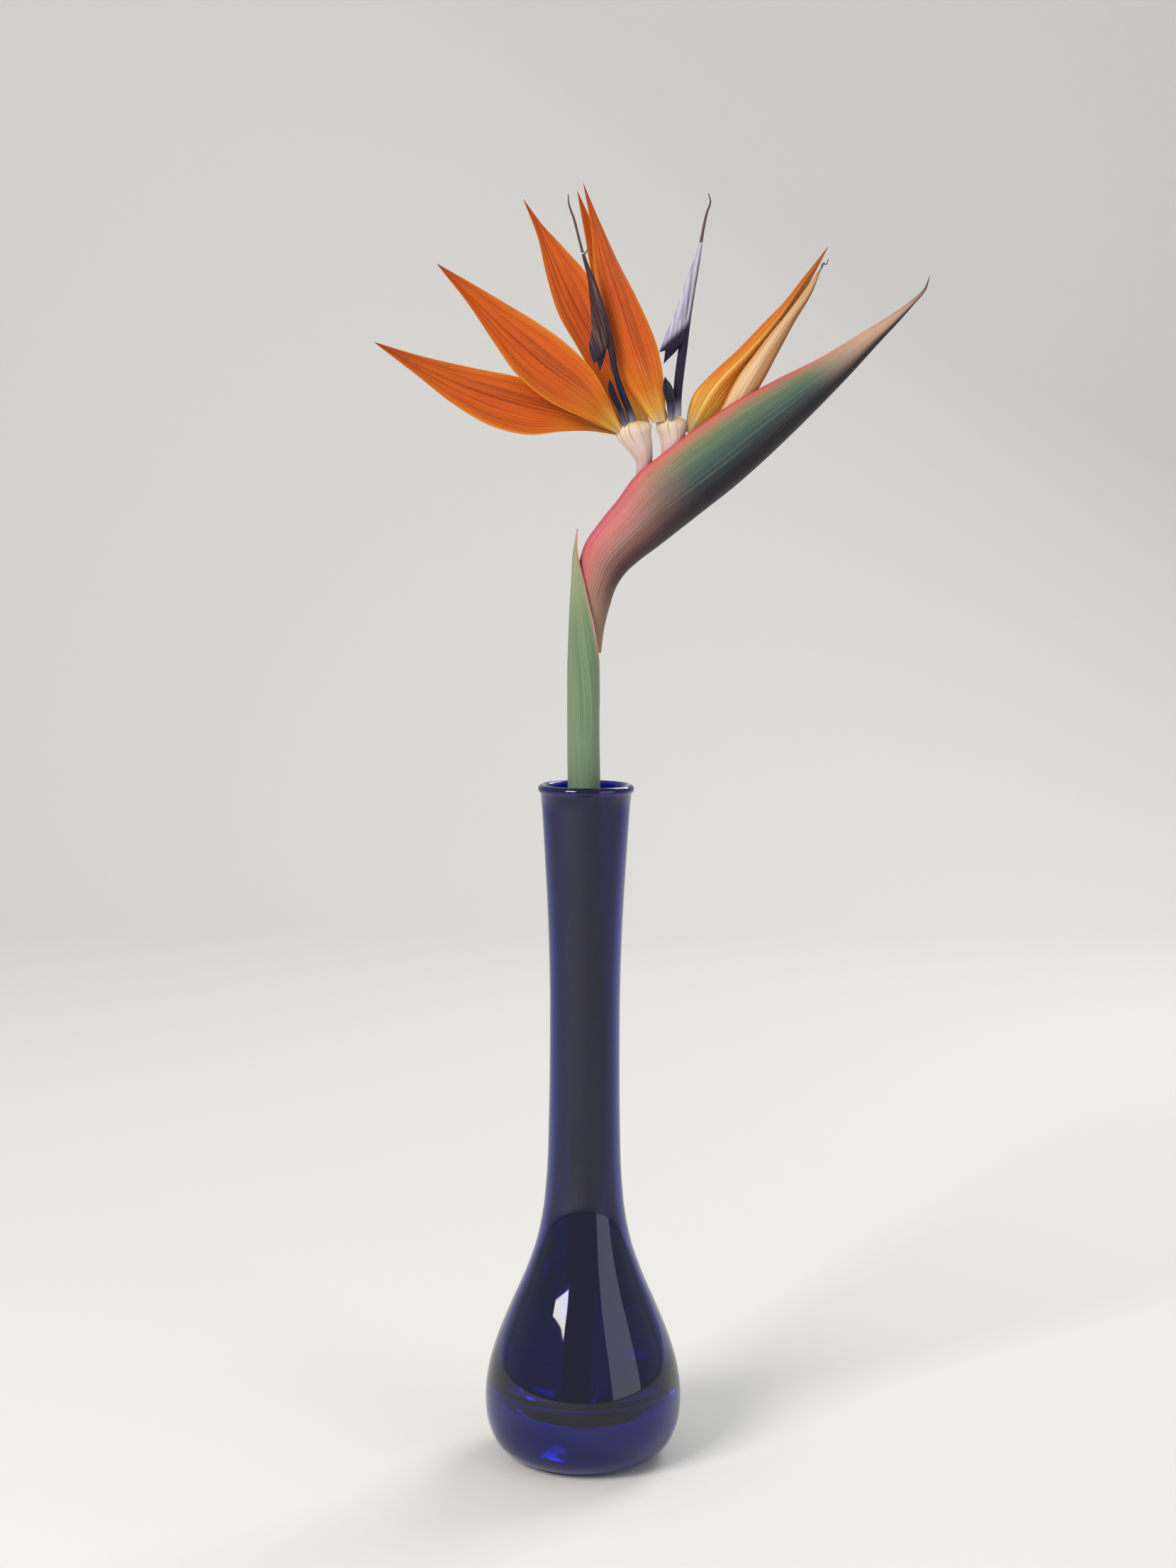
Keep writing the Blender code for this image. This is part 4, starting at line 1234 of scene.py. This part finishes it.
def build_floret_c(white, cream):
    tube(
        "floret_c_base",
        [
            from_rachis(28),
            (29.5, 5.4, 404.4, 1.9, 2.1),
            (37.0, 6.2, 413.5, 2.5, 2.8),
            (47.0, 7.0, 427.0, 3.2, 3.3),
            (57.4, 7.8, 440.6, 4.0, 3.4),
        ],
        white,
        rows=60,
    )
    left = [
        (54.0, 7.4, 443.6),
        (63.0, 6.6, 460.5),
        (71.5, 6.6, 472.0),
        (78.5, 6.6, 481.0),
        (87.5, 6.6, 492.5),
        (96.6, 6.6, 505.5),
    ]
    right = [
        (61.6, 7.4, 440.4),
        (75.0, 6.6, 462.6),
        (80.2, 6.6, 472.6),
        (86.0, 6.6, 483.4),
        (92.6, 6.6, 494.8),
        (96.6, 6.6, 505.5),
    ]
    for name, bulge in (("bud_sepal_near", -1.0), ("bud_sepal_far", 1.0)):
        apart = 0.55 * bulge
        edge = [(x, y + apart, z) for x, y, z in left[:-1]] + [left[-1]]
        far_edge = [(x, y + apart, z) for x, y, z in right[:-1]] + [right[-1]]
        shift = np.array((0.0, 0.5 * bulge, 0.0))
        rib = [
            (57.8, 7.4 + 2.6 * bulge, 442.2),
            (69.0, 6.6 + 2.9 * bulge, 461.8),
            (75.8, 6.6 + 2.6 * bulge, 472.6),
            (82.4, 6.6 + 2.0 * bulge, 482.6),
            (90.2, 6.6 + 1.2 * bulge, 493.8),
            (97.0, 6.6, 505.5),
        ]
        lines = [[tuple(np.array(p) + shift) for p in line] for line in (edge, rib, far_edge)]
        leaf(name, *lines, SEPAL_THICK * 0.8, cream, crease=0.15)


# Dry threads that stand off a tip or an edge: the material slot, then the points each one runs through
THREADS = {
    "arrow_a_thread": (
        "petal_navy",
        [(-2.2, -10.0, 507.6), (-1.2, -10.3, 508.6), (-0.2, -10.4, 510.4)],
    ),
    "bud_thread": (
        "bud_cream",
        [(96.4, 6.6, 504.6), (97.4, 6.4, 506.6), (98.2, 6.2, 506.2), (99.2, 6.2, 508.2)],
    ),
    "elbow_thread": (
        "spathe_green",
        [(21.6, 4.6, 421.6), (23.4, 3.4, 423.0), (25.0, 3.2, 422.6), (26.8, 3.8, 424.6)],
    ),
}
THREAD_RADIUS = (0.45, 0.18)  # at the foot and at the end


def build_threads(dark):
    for name, (slot, line) in THREADS.items():
        radii = np.linspace(*THREAD_RADIUS, len(line))
        tube(name, [(*p, r, r) for p, r in zip(line, radii)], dark, rows=24, sides=10)


def build():
    build_vase()
    build_water()
    build_scape()
    build_sheath()
    build_spathe()
    orange, white, navy, dark = sepal_orange(), floret_white(), petal_navy(), stigma_brown()
    build_floret_a(orange, white, navy, arrow_plum(), dark)
    build_floret_b(orange, sepal_keeled(), white, navy, arrow_lavender(), dark)
    build_floret_c(white, bud_cream())
    build_threads(dark)


# ---------------------------------------------------------------- studio


# The sweep, in metres: how far its floor reaches to the front and back, its bend, its top and half its width
SWEEP_FRONT = -3.0
SWEEP_BACK = 1.4
SWEEP_BEND = 0.9
SWEEP_TOP = 4.0
SWEEP_HALF_WIDTH = 5.0


def build_stage():
    """A pale floor that sweeps up into a backdrop."""
    profile = [(SWEEP_FRONT, 0.0), (SWEEP_BACK, 0.0)]
    for degrees in range(5, 91, 5):
        turn = math.radians(degrees)
        profile.append((SWEEP_BACK + SWEEP_BEND * math.sin(turn), SWEEP_BEND * (1 - math.cos(turn))))
    profile.append((SWEEP_BACK + SWEEP_BEND, SWEEP_TOP))
    bm = bmesh.new()
    sides = (-SWEEP_HALF_WIDTH, SWEEP_HALF_WIDTH)
    rows = [[bm.verts.new((x, y, z)) for x in sides] for y, z in profile]
    for low, high in zip(rows, rows[1:]):
        bm.faces.new([low[0], low[1], high[1], high[0]])
    mesh = bpy.data.meshes.new("studio_sweep")
    bm.to_mesh(mesh)
    bm.free()
    mesh.shade_smooth()
    sweep = bpy.data.objects.new("studio_sweep", mesh)
    bpy.context.scene.collection.objects.link(sweep)
    mesh.materials.append(Paint("studio_pale", 0.9).finish((0.72, 0.71, 0.69, 1.0)))


def add_light(name, place, aim, size, power, color):
    """A square area light of that size in metres and power in watts that faces the point aim."""
    lamp = bpy.data.lights.new(name, "AREA")
    lamp.size = size
    lamp.energy = power
    lamp.color = color
    made = bpy.data.objects.new(name, lamp)
    bpy.context.scene.collection.objects.link(made)
    made.location = place
    away = made.location - Vector(aim)
    made.rotation_euler = away.to_track_quat("Z", "Y").to_euler()


def build_studio():
    """Soft light from the upper left in front, a weak fill, one light behind, and pale air all round."""
    add_light("key", (-1.3, -1.5, 1.5), (0.0, 0.0, 0.35), 0.9, 47.0, (1.0, 0.96, 0.90))
    add_light("fill", (1.6, -1.2, 0.7), (0.0, 0.0, 0.30), 1.4, 9.0, (0.92, 0.96, 1.0))
    add_light("rim", (0.9, 1.2, 1.5), (0.0, 0.0, 0.40), 0.9, 16.0, (1.0, 1.0, 1.0))
    world = bpy.data.worlds.new("studio_air")
    world.use_nodes = True
    air = world.node_tree.nodes["Background"]
    air.inputs["Color"].default_value = (0.95, 0.97, 1.0, 1.0)
    air.inputs["Strength"].default_value = 0.52
    bpy.context.scene.world = world
    bpy.context.scene.view_settings.view_transform = "Standard"


CAMERA_DISTANCE = 1.0133  # metres from the point it looks at, by the vase's axis at the height of the rim
CAMERA_LENS = 55.33  # millimetres, for a 36 mm sensor
CAMERA_PITCH = math.radians(5.6)
CAMERA_ROLL = math.radians(0.3)
CAMERA_SHIFT = 0.8  # millimetres to the right of the vase's axis


def build_camera():
    view = bpy.data.cameras.new("camera")
    view.lens = CAMERA_LENS
    view.sensor_width = 36.0
    camera = bpy.data.objects.new("camera", view)
    bpy.context.scene.collection.objects.link(camera)
    back = CAMERA_DISTANCE * math.cos(CAMERA_PITCH)
    height = VASE_HEIGHT * MM + CAMERA_DISTANCE * math.sin(CAMERA_PITCH)
    tilt = Matrix.Rotation(math.radians(90) - CAMERA_PITCH, 4, "X")
    roll = Matrix.Rotation(CAMERA_ROLL, 4, "Z")
    camera.matrix_world = Matrix.Translation((CAMERA_SHIFT * MM, -back, height)) @ tilt @ roll
    bpy.context.scene.camera = camera


build()
build_stage()
build_studio()
build_camera()
